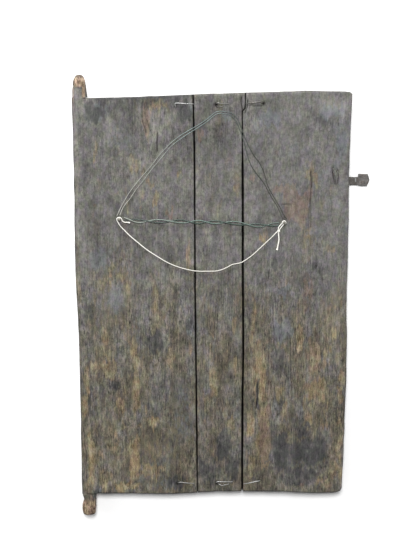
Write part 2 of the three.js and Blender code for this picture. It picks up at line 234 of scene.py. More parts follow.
def along_edge(points, at, shift=0.0):
    return np.interp(at, [p[0] for p in points], [p[1] for p in points]) + shift


# %% The scoops of the adze
def scoops(x, y, seed, reach, depth):
    """How deep the deepest scoop is at each point, from rows of overlapping strokes."""
    rng = np.random.default_rng(seed)
    low_x, high_x, low_y, high_y = reach
    across, along = 17.0, 24.0
    found = np.zeros_like(x)
    rows = int((high_y - low_y) / along) + 2
    columns = int((high_x - low_x) / across) + 2
    for row in range(rows):
        for column in range(columns):
            centre_x = low_x + (column + rng.uniform(-0.45, 0.45)) * across
            centre_y = low_y + (row + rng.uniform(-0.45, 0.45)) * along
            half_long = rng.uniform(14, 26)
            half_wide = rng.uniform(9, 17)
            slant = math.radians(rng.uniform(-48, 16))
            cut = depth * rng.uniform(0.35, 1.0)
            near = (np.abs(x - centre_x) < 28) & (np.abs(y - centre_y) < 28)
            dx, dy = x[near] - centre_x, y[near] - centre_y
            over = (dx * math.cos(slant) + dy * math.sin(slant)) / half_wide
            up = (dy * math.cos(slant) - dx * math.sin(slant)) / half_long
            found[near] = np.maximum(found[near], cut * (1 - over * over - up * up))
    return found


# %% The carving on the hidden front
frame_centre = (-15.0, 6.0)
frame_size = (314.0, 512.0)
frame_bar = 15.0
cross_bar = 11.0
zigzag_teeth = 9
zigzag_height = 22.0
carved_slope = 2.6


def inside_box(x, y, centre, size):
    return np.minimum(size[0] / 2 - np.abs(x - centre[0]), size[1] / 2 - np.abs(y - centre[1]))


def inside_lozenge(x, y, centre, size):
    part = 1 - np.abs(x - centre[0]) / (size[0] / 2) - np.abs(y - centre[1]) / (size[1] / 2)
    return part / math.hypot(2 / size[0], 2 / size[1])


def front_carving(x, y):
    """How far each point is inside the raised carving, in millimetres."""
    inner = (frame_size[0] - 2 * frame_bar, frame_size[1] - 2 * frame_bar)
    outside = inside_box(x, y, frame_centre, frame_size)
    raised = np.minimum(outside, -inside_box(x, y, frame_centre, inner))
    for side in (-1, 1):
        pair_y = frame_centre[1] + side * inner[1] / 5
        for step in (-1, 1):
            bar_y = pair_y + step * (zigzag_height + cross_bar) / 2
            bar = inside_box(x, y, (frame_centre[0], bar_y), (inner[0] + 4, cross_bar))
            raised = np.maximum(raised, bar)
        tooth = inner[0] / zigzag_teeth
        for i in range(zigzag_teeth):
            centre = (frame_centre[0] - inner[0] / 2 + (i + 0.5) * tooth, pair_y)
            raised = np.maximum(raised, inside_lozenge(x, y, centre, (tooth * 0.86, zigzag_height * 0.84)))
        for place in (-1, 0, 1):
            centre = (frame_centre[0] + place * inner[0] / 3, frame_centre[1] + side * inner[1] * 0.378)
            size = (inner[0] / 3 - 12, inner[1] * 0.185)
            ring = np.minimum(inside_lozenge(x, y, centre, size),
                              -inside_lozenge(x, y, centre, (size[0] - 26, size[1] - 28)))
            core = inside_lozenge(x, y, centre, (size[0] * 0.36, size[1] * 0.36))
            raised = np.maximum(raised, np.maximum(ring, core))
    great = inner[1] * 0.24
    size = (inner[0] * 0.8, great * 1.18)
    ring = np.minimum(inside_lozenge(x, y, frame_centre, size),
                      -inside_lozenge(x, y, frame_centre, (size[0] - 44, size[1] - 24)))
    core = inside_lozenge(x, y, frame_centre, (inner[0] * 0.36, great * 0.5))
    return np.maximum(raised, np.maximum(ring, core))


# %% [markdown]
# ## Marks of use
#
# Some marks are worth placing one by one, because they are what makes this board this board: the
# long ochre streaks where the dark skin has worn through, the blue-grey and sooty patches and
# the cracks. Each is one entry in a list: where it is, how big, how strong. Their rims are
# then broken up by the wood's own grain, here and again in the material.

# %% Places where the skin has worn to ochre: x, y, half width, half height, strength
worn_places = [
    (-90, 280, 15, 9, 0.75), (-104, 279, 4, 8, 0.5), (-104, 245, 4, 13, 0.6), (-124, 197, 9, 8, 0.7),
    (-123, 210, 11, 6, 0.35), (-113, 192, 6, 7, 0.5), (-178, 214, 3, 9, 0.7), (-93, 146, 5, 14, 0.9),
    (-100, 173, 6, 7, 0.65), (-60, 190, 5, 6, 0.65), (-114, 155, 6, 8, 0.6), (-135, 160, 3, 7, 0.6),
    (-134, 137, 3, 8, 0.5), (-173, 174, 4, 10, 0.35), (-150, 150, 4, 4, 0.45), (-158, 51, 7, 7, 0.75),
    (-142, 41, 8, 11, 0.7), (-162, 26, 7, 11, 0.65), (-133, 22, 6, 15, 0.55), (-47, 70, 4, 18, 0.7),
    (-45, 91, 3, 11, 0.5), (-95, 5, 6, 20, 0.6), (-77, 5, 4, 14, 0.45), (-145, -21, 8, 15, 0.5),
    (-180, 5, 6, 28, 0.45), (-205, 34, 4, 56, 0.5), (-167, -48, 6, 12, 0.65), (-163, -96, 13, 13, 0.85),
    (-124, -71, 6, 28, 0.75), (-124, -132, 6, 33, 0.9), (-73, -77, 5, 22, 0.7), (-46, -64, 4, 16, 0.6),
    (-189, -71, 6, 22, 0.35), (-146, -150, 8, 10, 0.9), (-161, -104, 8, 9, 0.8),
    (-195, -120, 4, 24, 0.75), (-198, -154, 4, 14, 0.8), (-98, -176, 8, 9, 0.9),
    (-111, -162, 4, 6, 0.6), (-139, -183, 4, 8, 0.6), (-120, -183, 5, 8, 0.6),
    (-190, -225, 6, 35, 0.95), (-126, -233, 8, 30, 1), (-97, -244, 17, 6, 0.75),
    (-108, -209, 9, 8, 0.5), (-87, -218, 18, 16, 0.45), (-141, -273, 20, 7, 0.85),
    (-169, -260, 10, 14, 0.65), (-159, -203, 8, 21, 0.45), (-104, -254, 15, 6, 0.7),
    (-63, -188, 4, 21, 0.25), (-56, -236, 7, 15, 0.35), (19, 170, 4, 20, 0.6), (10, 203, 6, 13, 0.35),
    (-10, 140, 8, 14, 0.3), (-13, -114, 7, 24, 0.7), (18, -36, 4, 14, 0.65), (19, -93, 4, 12, 0.6),
    (-26, -61, 4, 28, 0.4), (13, -177, 6, 10, 0.75), (0, -154, 8, 12, 0.4), (-21, -142, 6, 15, 0.45),
    (-9, -39, 7, 17, 0.35), (-27, -188, 4, 21, 0.35), (149, 290, 6, 3, 0.42), (122, 189, 6, 6, 0.8),
    (130, 174, 6, 10, 0.85), (57, 97, 6, 6, 0.9), (122, 77, 5, 17, 0.5), (118, 97, 4, 8, 0.6),
    (156, 78, 4, 4, 0.6), (138, 140, 4, 11, 0.45), (152, 162, 6, 11, 0.35), (45, -21, 3, 36, 0.8),
    (55, -102, 7, 45, 1), (61, -172, 10, 24, 0.75), (61, -215, 11, 21, 0.8), (63, -241, 9, 6, 0.8),
    (41, -175, 5, 20, 0.95), (42, -241, 7, 22, 0.65), (49, -61, 4, 14, 0.45), (111, -52, 5, 21, 0.9),
    (105, -39, 3, 14, 0.55), (130, -71, 10, 39, 0.6), (148, -82, 4, 12, 0.65), (160, -46, 4, 8, 0.7),
    (156, -61, 3, 7, 0.65), (87, -64, 9, 10, 0.6), (84, -130, 6, 12, 0.75), (90, -160, 5, 14, 0.65),
    (105, -126, 10, 14, 0.4), (135, -126, 17, 16, 0.85), (124, -160, 8, 20, 0.9),
    (148, -174, 6, 9, 0.75), (153, -153, 8, 10, 0.55), (170, -133, 6, 12, 0.75), (171, -110, 5, 9, 0.7),
    (172, -174, 4, 9, 0.8), (171, -231, 5, 35, 0.85), (162, -247, 8, 20, 0.7), (114, -205, 8, 10, 0.75),
    (98, -196, 3, 6, 0.7), (141, -259, 8, 6, 0.6), (111, -10, 7, 21, 0.4), (153, -10, 7, 30, 0.4),
    (89, 26, 9, 17, 0.3), (167, 5, 4, 42, 0.35), (119, 180, 4, 6, 0.7), (126, 195, 7, 4, 0.5),
    (118, 77, 7, 21, 0.5), (147, 82, 7, 6, 0.55), (154, -12, 7, 7, 0.55), (-97, 25, 4, 16, 0.55),
    (-89, -24, 3, 11, 0.5), (-161, -98, 9, 12, 0.6), (-181, -93, 8, 10, 0.5), (-167, 29, 10, 14, 0.45),
    (-141, 60, 13, 22, 0.35), (-124, -120, 7, 45, 0.35), (61, -148, 8, 15, 0.4),
    (127, -165, 10, 16, 0.5), (165, -228, 7, 30, 0.45), (150, -267, 13, 8, 0.55), (154, -60, 2, 3, 0.6),
    (111, -58, 5, 18, 0.5), (64, -242, 9, 8, 0.45),
]

# %% Dark and sooty places, in the same order; the one at -184, -282 is painted shadow in the corner by the bottom peg
dark_places = [
    (-176, 270, 16, 14, 0.85), (-50, 270, 11, 13, 0.85), (-64, 234, 7, 13, 0.5),
    (-135, 239, 4, 11, 0.4), (-154, 213, 8, 10, 0.45), (-185, 193, 6, 6, 0.5), (-150, 163, 6, 6, 0.5),
    (-128, 185, 4, 4, 0.45), (-88, 194, 6, 4, 0.55), (-76, 223, 7, 4, 0.6), (-160, 148, 6, 11, 0.5),
    (-172, 116, 11, 14, 0.4), (-88, 91, 18, 20, 0.35), (-179, 70, 11, 15, 0.45), (-189, 84, 6, 28, 0.4),
    (-116, 77, 11, 20, 0.3), (-59, 119, 8, 11, 0.35), (-94, -58, 15, 14, 0.85), (-47, -34, 5, 11, 0.9),
    (-153, -68, 8, 12, 0.4), (-187, -128, 4, 14, 0.7), (-171, -130, 8, 9, 0.6), (-151, -124, 8, 8, 0.6),
    (-170, -160, 7, 9, 0.45), (-176, -200, 4, 8, 0.6), (-83, -114, 7, 17, 0.5),
    (-86, -153, 4, 12, 0.55), (-98, -154, 6, 8, 0.5), (-155, -39, 7, 8, 0.5), (-63, -130, 9, 21, 0.45),
    (-68, -203, 8, 24, 0.45), (-68, -267, 14, 9, 0.8), (-184, -282, 6, 6, 0.9),
    (-151, -236, 7, 15, 0.4), (-108, -32, 8, 8, 0.4), (5, 64, 4, 6, 0.6), (-10, 217, 11, 17, 0.35),
    (-24, 261, 7, 17, 0.4), (2, -209, 13, 22, 0.95), (-21, -251, 14, 20, 0.75), (16, -248, 9, 18, 0.75),
    (-24, 19, 6, 21, 0.35), (6, 5, 8, 17, 0.3), (20, -142, 4, 15, 0.45), (-4, -68, 6, 9, 0.35),
    (132, 257, 13, 6, 0.55), (146, 253, 9, 4, 0.55), (66, 41, 6, 7, 0.7), (134, 50, 8, 7, 0.7),
    (104, 60, 7, 7, 0.4), (41, -2, 6, 18, 0.6), (90, -24, 13, 14, 0.5), (66, -61, 7, 11, 0.45),
    (88, -101, 14, 21, 0.6), (51, -136, 3, 20, 0.95), (86, -221, 14, 27, 0.9),
    (131, -221, 24, 21, 0.95), (109, -180, 9, 12, 0.6), (145, -196, 13, 10, 0.6),
    (114, -260, 33, 14, 0.8), (155, -120, 6, 12, 0.55), (161, -90, 4, 15, 0.6), (179, -203, 3, 45, 0.5),
    (76, -188, 6, 14, 0.6), (49, -260, 8, 9, 0.5), (136, -17, 7, 11, 0.4), (152, 34, 14, 17, 0.35),
    (74, 77, 12, 11, 0.3), (44, 112, 8, 17, 0.3), (-52, 268, 11, 13, 0.95), (-61, 291, 16, 4, 0.85),
    (111, -221, 12, 20, 0.8), (74, 60, 3, 10, 0.7), (-188, -11, 10, 11, 0.6), (-148, -86, 8, 15, 0.4),
    (119, -190, 12, 9, 0.75), (82, -78, 10, 14, 0.6), (93, -46, 3, 3, 0.7), (83, 51, 4, 3, 0.7),
]

# %% Blue-grey and reddish places; the blue one at -181, -282 is painted shadow in the corner by the bottom peg
blue_places = [
    (151, 270, 17, 10, 1.1), (166, 224, 8, 22, 0.8), (65, 260, 17, 11, 0.7), (-176, 270, 17, 14, 0.75),
    (-50, 270, 11, 13, 0.7), (7, 263, 8, 5, 0.8), (-47, -34, 5, 11, 0.7), (-142, 231, 20, 20, 0.45),
    (107, 217, 22, 22, 0.4), (2, -209, 13, 22, 0.4), (131, -225, 25, 26, 0.4), (-181, -282, 6, 8, 0.9),
    (-75, -267, 18, 9, 0.5), (164, 148, 7, 34, 0.4), (55, 203, 11, 23, 0.35), (-103, -61, 14, 13, 0.35),
    (88, 19, 10, 10, 0.7), (-175, 62, 15, 18, 0.6), (-153, 2, 15, 20, 0.5), (87, -39, 15, 17, 0.65),
    (-56, -160, 14, 51, 0.45), (114, -236, 34, 24, 0.45),
]
red_places = [
    (79, 162, 13, 8, 0.6), (96, 157, 13, 14, 0.65), (108, 148, 13, 11, 0.7), (43, 176, 4, 7, 0.6),
    (-106, 258, 4, 18, 0.8), (-75, 129, 6, 6, 0.7), (-114, 133, 4, 6, 0.5), (-179, 129, 3, 10, 0.45),
    (-31, 241, 3, 7, 0.7), (68, -150, 4, 36, 0.6), (-150, -150, 4, 9, 0.6), (122, 157, 3, 20, 0.6),
    (25, 5, 3, 28, 0.3), (-63, 5, 4, 20, 0.3), (-126, -248, 6, 9, 0.5), (104, 131, 18, 20, 0.65),
    (122, 15, 7, 28, 0.55), (146, -90, 4, 6, 0.6), (120, -270, 9, 6, 0.5), (-147, -142, 8, 14, 0.5),
    (-127, -39, 10, 22, 0.4), (62, -203, 9, 40, 0.6), (129, -86, 13, 45, 0.42), (58, -120, 7, 21, 0.3),
    (-125, -225, 7, 26, 0.35),
]

# %% Cracks: x and y of one end, x and y of the other, depth
tone_places = [
    (-155, 278, 13, 14, -0.25), (-107, 290, 63, 7, -0.2), (-135, 140, 17, 13, -0.2),
    (-116, 84, 10, 20, -0.12), (-68, 80, 22, 36, -0.15), (-12, 97, 13, 13, -0.22),
    (-4, 243, 22, 11, -0.12), (-187, 11, 20, 10, -0.14), (75, -1, 8, 25, -0.12),
    (126, -71, 11, 15, -0.12), (-143, -56, 8, 22, -0.16), (-60, -113, 20, 14, -0.16),
    (-115, -145, 20, 18, -0.13), (19, -114, 18, 7, -0.13), (2, -225, 15, 21, -0.2),
    (73, -257, 14, 12, -0.2), (41, -160, 8, 9, -0.12), (-163, -257, 14, 9, -0.16),
    (-202, -148, 6, 27, -0.2), (-156, 203, 14, 18, -0.1), (39, 70, 10, 9, -0.14),
    (-98, 159, 17, 11, -0.1), (-98, 245, 20, 17, 0.1), (145, 279, 20, 13, 0.16),
    (111, 253, 13, 12, 0.1), (-15, 187, 11, 17, 0.12), (-37, 156, 8, 13, 0.14),
    (-180, 34, 11, 11, 0.13), (-129, 15, 11, 17, 0.16), (-102, 26, 9, 11, 0.1), (25, 25, 9, 18, 0.12),
    (-88, -29, 10, 20, 0.14), (10, -55, 13, 18, 0.15), (-167, -70, 11, 12, 0.13),
    (158, -42, 10, 51, 0.22), (87, -30, 8, 9, 0.14), (-11, -86, 11, 15, 0.1), (49, -107, 9, 30, 0.12),
    (127, -150, 14, 12, 0.1), (144, -264, 14, 10, 0.25), (-104, -233, 39, 27, 0.09),
    (103, 111, 11, 11, 0.1), (-191, -190, 9, 21, 0.08), (8, 5, 21, 22, 0.07), (149, 270, 15, 10, 0.12),
    (137, 257, 11, 5, -0.16), (-89, 258, 13, 10, 0.08), (-134, 279, 20, 8, -0.22),
    (-100, 282, 20, 8, -0.26), (-72, 280, 14, 9, -0.26), (-176, 268, 8, 15, -0.14),
    (-30, 258, 6, 26, -0.2), (-49, 210, 6, 28, -0.16), (-153, 143, 13, 8, -0.14),
    (-123, 97, 6, 8, -0.16), (138, 37, 4, 9, -0.16), (86, -46, 6, 10, -0.24), (107, -45, 6, 9, -0.2),
    (95, -32, 6, 7, 0.24), (-144, -65, 9, 8, -0.22), (-117, -77, 7, 6, -0.2), (-81, -49, 8, 4, -0.26),
    (-85, -130, 6, 20, -0.16), (-171, -150, 8, 12, -0.12), (41, -172, 7, 9, -0.18),
    (81, -139, 8, 18, -0.15), (83, -101, 8, 8, -0.14), (19, -189, 14, 9, -0.14),
    (15, -236, 10, 8, -0.18), (125, -195, 10, 6, -0.2), (-150, -271, 6, 4, -0.24),
    (-200, 235, 4, 7, 0.2), (-197, 80, 4, 30, 0.18), (-176, 37, 7, 8, 0.2), (-148, 19, 7, 9, 0.16),
    (-165, -39, 6, 10, 0.16), (-194, -42, 6, 10, 0.2), (167, 275, 4, 10, 0.22), (164, -32, 6, 20, 0.18),
    (165, -84, 7, 9, 0.26), (159, 140, 7, 13, 0.12), (-13, -74, 6, 20, 0.16), (-195, -268, 6, 13, 0.24),
    (-165, -274, 8, 4, 0.2), (-105, -274, 21, 4, 0.18), (141, -270, 9, 6, 0.18),
    (-175, 62, 14, 17, 0.06), (-153, 2, 15, 18, 0.1), (114, -230, 34, 24, -0.08),
    (-58, -160, 11, 45, -0.06), (116, -58, 4, 15, 0.08),
]
warm_places = [
    (-93, 275, 8, 14, 0.2), (-31, 252, 13, 11, 0.12), (117, 125, 15, 30, 0.22), (134, 105, 8, 17, 0.14),
    (160, 148, 8, 14, 0.12), (35, 48, 10, 15, 0.12), (-152, 32, 8, 13, 0.2), (-167, -71, 11, 10, 0.25),
    (-16, -68, 6, 21, 0.2), (47, -101, 6, 39, 0.25), (144, -98, 14, 15, 0.2), (-32, -154, 13, 21, 0.16),
    (-154, -154, 14, 24, 0.14), (-126, -236, 36, 27, 0.12), (-198, -268, 10, 14, 0.25),
    (139, -257, 8, 9, 0.2), (59, 98, 8, 12, 0.12), (0, 5, 17, 22, 0.08), (12, -150, 11, 15, 0.1),
    (154, -54, 11, 18, 0.08), (-81, -10, 11, 15, 0.04), (-121, 214, 8, 10, -0.25),
    (86, 173, 14, 11, -0.15), (124, 77, 7, 14, -0.2), (-192, -64, 8, 15, -0.35),
    (-80, 19, 8, 12, -0.25), (-101, -4, 6, 20, -0.25), (-60, -101, 12, 54, -0.25),
    (57, -49, 9, 9, -0.2), (124, -33, 13, 30, -0.3), (120, -154, 11, 12, -0.2),
    (169, -227, 8, 12, -0.2), (68, -248, 12, 15, -0.2), (36, -163, 8, 12, -0.2),
    (-10, -188, 14, 21, -0.15), (110, -194, 13, 9, -0.2), (-165, 60, 8, 8, -0.25),
    (-138, -10, 14, 15, -0.12), (-121, -135, 8, 18, -0.12), (25, 77, 7, 11, -0.08),
    (-92, 286, 10, 6, -0.35), (-142, 45, 6, 7, -0.35), (-164, 28, 6, 6, -0.3), (-178, -5, 4, 21, -0.25),
    (-78, 5, 4, 18, -0.3), (-54, -76, 10, 8, -0.25), (-27, -76, 4, 11, -0.35), (158, -99, 11, 8, -0.45),
    (123, -162, 7, 10, -0.35), (149, -180, 9, 8, -0.25), (169, -241, 4, 16, -0.35),
    (-96, -239, 11, 6, -0.3), (63, -43, 6, 13, -0.2), (87, -40, 7, 20, -0.2), (-170, -256, 6, 7, -0.35),
    (113, -198, 8, 6, -0.3), (63, 97, 6, 7, 0.35), (123, 97, 10, 17, 0.25), (113, 131, 7, 17, 0.18),
    (-126, 203, 8, 8, 0.2), (-13, -68, 6, 21, 0.2), (-160, -74, 8, 8, 0.25), (-118, -92, 12, 12, 0.2),
    (-186, -95, 6, 9, 0.25), (45, -99, 7, 12, 0.2), (59, -124, 4, 15, 0.25), (49, -154, 7, 8, 0.2),
    (133, -68, 10, 27, 0.18), (-39, -180, 6, 21, 0.2), (-183, -225, 10, 14, 0.25),
    (-148, -203, 6, 16, 0.25), (-189, -270, 8, 14, 0.35), (-132, -274, 17, 4, 0.3),
    (166, -80, 6, 6, 0.3), (144, -267, 8, 6, 0.3), (-175, 62, 14, 17, -0.2), (-153, 2, 15, 18, -0.2),
    (87, -39, 14, 15, -0.25), (103, 131, 17, 17, 0.2), (120, 19, 8, 30, 0.2), (61, -203, 10, 45, 0.15),
]
smooth_places = [
    (-175, 62, 15, 18, 0.8), (-153, 2, 17, 20, 0.8), (-90, -221, 26, 20, 0.9), (114, -230, 35, 26, 0.7),
    (-56, -160, 14, 51, 0.7), (87, -39, 15, 17, 0.7), (-177, 270, 13, 17, 0.6), (-156, 248, 17, 9, 0.6),
    (149, 275, 20, 17, 0.9), (83, 270, 25, 17, 0.7), (82, 231, 25, 20, 0.6), (8, 196, 17, 28, 0.55),
    (-12, 140, 17, 22, 0.5), (-171, 148, 20, 22, 0.5), (-101, 162, 17, 20, 0.5),
    (-65, 189, 13, 16, 0.5), (-74, 77, 20, 20, 0.35), (144, 133, 17, 28, 0.5), (159, 5, 11, 34, 0.4),
    (11, -39, 14, 22, 0.4), (60, 148, 14, 25, 0.4), (-126, 217, 11, 14, 0.4), (4, 60, 14, 20, 0.4),
    (64, -203, 10, 42, 0.5), (-10, 5, 11, 20, 0.3),
]
cracks = [
    (-90, 242, -90, 214, 1.3), (-68, 249, -71, 228, 0.7), (124, 189, 124, 164, 1.2),
    (124, 164, 124, 107, 0.8), (51, -118, 50, -157, 1.2), (-192, -142, -192, -168, 0.8),
    (-200, -184, -197, -248, 0.8), (-197, -245, -196, -285, 0.7), (-54, 300, -54, 289, 0.5),
    (-14, -120, -13, -172, 0.4), (-117, -54, -115, -142, 0.45), (-82, -76, -81, -172, 0.45),
    (-135, -135, -139, -225, 0.5), (-114, -195, -113, -256, 0.4), (97, -46, 101, -142, 0.6),
    (140, -39, 143, -90, 0.6), (150, -54, 144, -71, 0.6), (119, -61, 123, -135, 0.5),
    (134, -68, 131, -113, 0.5), (57, -61, 60, -120, 0.45), (70, -113, 73, -248, 0.5),
    (-144, 91, -143, 19, 0.4), (-124, 60, -123, -39, 0.4), (-74, 91, -73, -24, 0.4),
    (-168, 5, -168, -83, 0.45), (-20, 258, -17, 162, 0.3), (4, 133, 5, 19, 0.35),
    (-7, 5, -6, -113, 0.4), (58, 148, 60, 128, 0.4), (74, 140, 102, 142, 0.7),
    (123, 91, 127, -39, 0.45), (145, 77, 148, -24, 0.35), (82, 48, 84, -39, 0.35),
    (15, -128, 16, -203, 0.4), (-23, 291, -19, 270, 0.5), (-12, 291, -9, 280, 0.4),
    (-2, 290, -6, 267, 0.4), (-33, 291, -31, 272, 0.4), (-112, 284, -111, 260, 0.9),
    (-111, 260, -106, 240, 1), (-107, 278, -106, 260, 0.7), (-106, 260, -99, 242, 0.8),
    # The two from 35 to 56 near y 278 are a groove under the top right staple's clinched leg, cut and painted dark as
    # its shadow.
    (32, 279, 32, 268, 1.3), (26.4, 269, 25.9, 291, 1.3), (35, 280, 46, 277, 0.8), (46, 277, 56, 278, 0.8),
    (132, 263, 143, 254, 0.35), (143, 254, 152, 253, 0.35), (-9, 283, -9, 277, 1.5),
    (66, 47, 66, 35, 1), (70, 35, 70, 33, 0.9), (132, 56, 133, 50, 1.1), (130, 53, 135, 54, 0.9),
    (136, 48, 143, 32, 0.8), (136, 24, 131, 9, 0.8), (129, 0, 130, -2, 0.9), (123, 34, 123, 24, 0.5),
    (130, 95, 130, 90, 0.9), (72, 9, 72, 7, 0.9), (123, 187, 124, 154, 0.9), (122, 150, 122, 126, 0.8),
    (121, 131, 121, 105, 0.7), (59, 148, 63, 133, 0.45), (63, 133, 71, 126, 0.45),
    (71, 126, 82, 119, 0.45), (73, -122, 74, -242, 0.4), (104, -36, 106, -74, 0.6),
    (123, -21, 123, -49, 0.5), (136, -42, 136, -61, 0.5), (-103, -22, -103, -25, 1.4),
    # The last four, round the latch staple, are slots painted dark as the shadows beside its clinched legs.
    (-117, -196, -117, -273, 0.5), (35, 287, 34, 274, 1.2), (153, 188, 157, 170, 1.6),
    (161, 185, 161, 170, 1), (157, 170, 161, 170, 0.9), (157, 191, 157, 189, 0.9),
]


# %% How strong a list of places is at each point
def strength_of(places, x, y, seed):
    """The strongest of the places at each point, its rim broken up along the grain."""
    found = np.zeros_like(x)
    shifted_x = x + 2.6 * uneven(x, y, 8, 17, seed) + 1.3 * uneven(x, y, 2.4, 7, seed + 1)
    shifted_y = y + 7.0 * uneven(x, y, 6, 15, seed + 2) + 6.0 * uneven(x, y, 2.2, 9, seed + 3)
    for centre_x, centre_y, half_wide, half_high, strong in places:
        near = (np.abs(y - centre_y) < 1.4 * half_high + 16) & (np.abs(x - centre_x) < 1.4 * half_wide + 8)
        dx = np.abs(shifted_x[near] - centre_x) / half_wide
        dy = np.abs(shifted_y[near] - centre_y) / half_high
        apart = (dx**2.6 + dy**2.6) ** (1 / 2.6)
        found[near] = np.maximum(found[near], strong * (1 - step_up(apart, 0.6, 1.45)))
    return found


def sum_of(places, x, y, seed):
    """The sum of the places at each point, with soft rims."""
    total = np.zeros_like(x)
    shifted_x = x + 3.0 * uneven(x, y, 6, 13, seed) + 1.3 * uneven(x, y, 2.4, 7, seed + 1)
    shifted_y = y + 6.0 * uneven(x, y, 7, 12, seed + 2) + 4.0 * uneven(x, y, 2.2, 9, seed + 3)
    for centre_x, centre_y, half_wide, half_high, strong in places:
        near = (np.abs(y - centre_y) < 1.7 * half_high + 11) & (np.abs(x - centre_x) < 1.7 * half_wide + 5)
        apart = np.hypot((shifted_x[near] - centre_x) / half_wide, (shifted_y[near] - centre_y) / half_high)
        total[near] += strong * (1 - step_up(apart, 0.3, 1.6))
    return total


def crack_depth(x, y):
    found = np.zeros_like(x)
    for x0, y0, x1, y1, deep in cracks:
        length = math.hypot(x1 - x0, y1 - y0)
        way_x, way_y = (x1 - x0) / length, (y1 - y0) / length
        near = (np.abs(x - (x0 + x1) / 2) < length) & (np.abs(y - (y0 + y1) / 2) < length)
        along = (x[near] - x0) * way_x + (y[near] - y0) * way_y
        beside = (x[near] - x0) * way_y - (y[near] - y0) * way_x
        beside = beside + uneven(along * 0, along, 5, 11, int(abs(x0 * 7 + y0))) * 0.8
        past = np.maximum(np.abs(along - length / 2) - length / 2 + 2, 0)
        cut = deep * np.exp(-(beside / 0.95) ** 2 - (past / 2.2) ** 2)
        found[near] = np.maximum(found[near], cut)
    return found


# %% Holes that the iron goes through
wire_radius = 1.2
leg_places = {
    "staple_top_left": ((-64.7, 277), (-9.6, 279.2)),
    "staple_top_right": ((-7.2, 277.4), (56, 281.4)),
    "staple_bottom_left": ((-64.6, -268.8), (-7.6, -267.4)),
    "staple_bottom_right": ((-5.2, -269.2), (55.3, -265)),
    "latch_staple": ((153.9, 191.4), (160.2, 187.6)),
}
hole_places = [leg for legs in leg_places.values() for leg in legs] + [nail_left, nail_right, (-102, -24.5)]

# Spots where a staple leg goes in: cut deeper, and painted dark on both the wood and the iron as painted shadow in the
# hole.
hole_shadow_spots = {
    "staple_top_left": (-8.8, 279.4), "staple_top_right": (56.8, 281),
    "staple_bottom_left": (-64.8, -269.6), "staple_bottom_right": (-6.6, -270.2),
}
hole_shadow_radius = 2.3


def hole_depth(x, y):
    found = np.zeros_like(x)
    for centre_x, centre_y in hole_places:
        found = np.maximum(found, np.exp(-((x - centre_x) ** 2 + (y - centre_y) ** 2) / 1.9**2))
    for centre_x, centre_y in hole_shadow_spots.values():
        away = np.hypot(x - centre_x, y - centre_y)
        found = np.maximum(found, 1.3 * np.exp(-(away / hole_shadow_radius) ** 2))
    return found


# %% [markdown]
# ## From a cube to a board
#
# The cube is cut by subdividing only the edges that run one way, so the grid can be finer
# across the grain than along it. The number of cuts that Blender allows in one go is small, so
# long directions are cut twice. The left board also needs its pegs: the faces of each end that
# lie under a peg are extruded before the points are sent to their places.

# %% A finely cut block
def select_edges_along(block, axis):
    mesh = bmesh.from_edit_mesh(block.data)
    for edge in mesh.edges:
        way = edge.verts[1].co - edge.verts[0].co
        edge.select = abs(way[axis]) > 0.9 * way.length
    mesh.select_flush_mode()
    bmesh.update_edit_mesh(block.data)


def cut_block(name, cuts):
    bpy.ops.object.select_all(action="DESELECT")
    bpy.ops.mesh.primitive_cube_add(size=1, location=(0, 0, 0))
    block = bpy.context.object
    block.name = name
    bpy.ops.object.mode_set(mode="EDIT")
    bpy.ops.mesh.select_mode(type="EDGE")
    for axis, rounds in enumerate(cuts):
        for number in rounds:
            select_edges_along(block, axis)
            bpy.ops.mesh.subdivide(number_cuts=number)
    bpy.ops.object.mode_set(mode="OBJECT")
    return block


# %% Pegs are extruded from the end faces: height, left side, right side, half depth
top_peg = {"middle": -198.2, "squareness": 0.0, "profile": [
    (289.5, -208.3, -186.9, 10.6), (291.5, -208.3, -187.2, 10.4), (294, -208.3, -187.6, 10.2),
    (297, -208.3, -188.2, 9.8), (300, -208.2, -188.7, 9.2), (302.3, -207.8, -188.9, 8.8),
    (304.4, -206.6, -189.1, 8.4), (307, -207.1, -189.5, 8.8), (310.4, -206.8, -189.6, 9.0),
    (313.5, -205.9, -190.2, 8.6), (316.2, -204.6, -191.5, 7.4), (318.4, -203.2, -193.0, 5.8),
    (319.9, -201.0, -195.2, 3.8)]}
bottom_peg = {"middle": -195.0, "squareness": 0.6, "profile": [
    (-285, -204.6, -184.0, 10.8), (-288, -204.1, -184.0, 10.8), (-291.5, -203.4, -184.1, 10.5),
    (-295.1, -202.7, -184.3, 10.0), (-298.6, -203.3, -184.5, 9.9), (-302, -204.6, -184.5, 10.4),
    (-305, -205.4, -184.5, 10.7), (-309, -205.6, -184.5, 10.8), (-312.5, -205.3, -184.6, 10.7),
    (-315.0, -204.6, -184.8, 10.4), (-317.2, -203.6, -185.4, 9.6), (-318.8, -202.2, -188.5, 8.6),
    (-319.9, -199.4, -194.0, 6.8)]}


def extrude_peg(block, end, share, levels):
    """Extrude the end's faces over the first share of its width, once for each level."""
    bpy.ops.object.select_all(action="DESELECT")
    block.select_set(True)
    bpy.context.view_layer.objects.active = block
    bpy.ops.object.mode_set(mode="EDIT")
    bpy.ops.mesh.select_mode(type="FACE")
    mesh = bmesh.from_edit_mesh(block.data)
    for face in mesh.faces:
        centre = face.calc_center_median()
        face.select = centre.y * end > 0.4999 and centre.x < share - 0.5
    mesh.select_flush_mode()
    bmesh.update_edit_mesh(block.data)
    for _ in range(levels):
        bpy.ops.mesh.extrude_region_move(TRANSFORM_OT_translate={"value": (0, end * 0.05, 0)})
    bpy.ops.object.mode_set(mode="OBJECT")


# %% Heights of the back and the front of the boards
edge_wear = {"outer": 1.6, "joint": 1.4}
stile_width = 13.0
stile_fall = 6.0
box_low, box_high = (np.array(corner) / MM for corner in cad_box)


def rounded(distance, radius):
    """How far a worn edge has fallen away, from how far a point is inside it."""
    inside = np.clip(radius - distance, 0, radius)
    return radius - np.sqrt(np.maximum(radius * radius - inside * inside, 0))


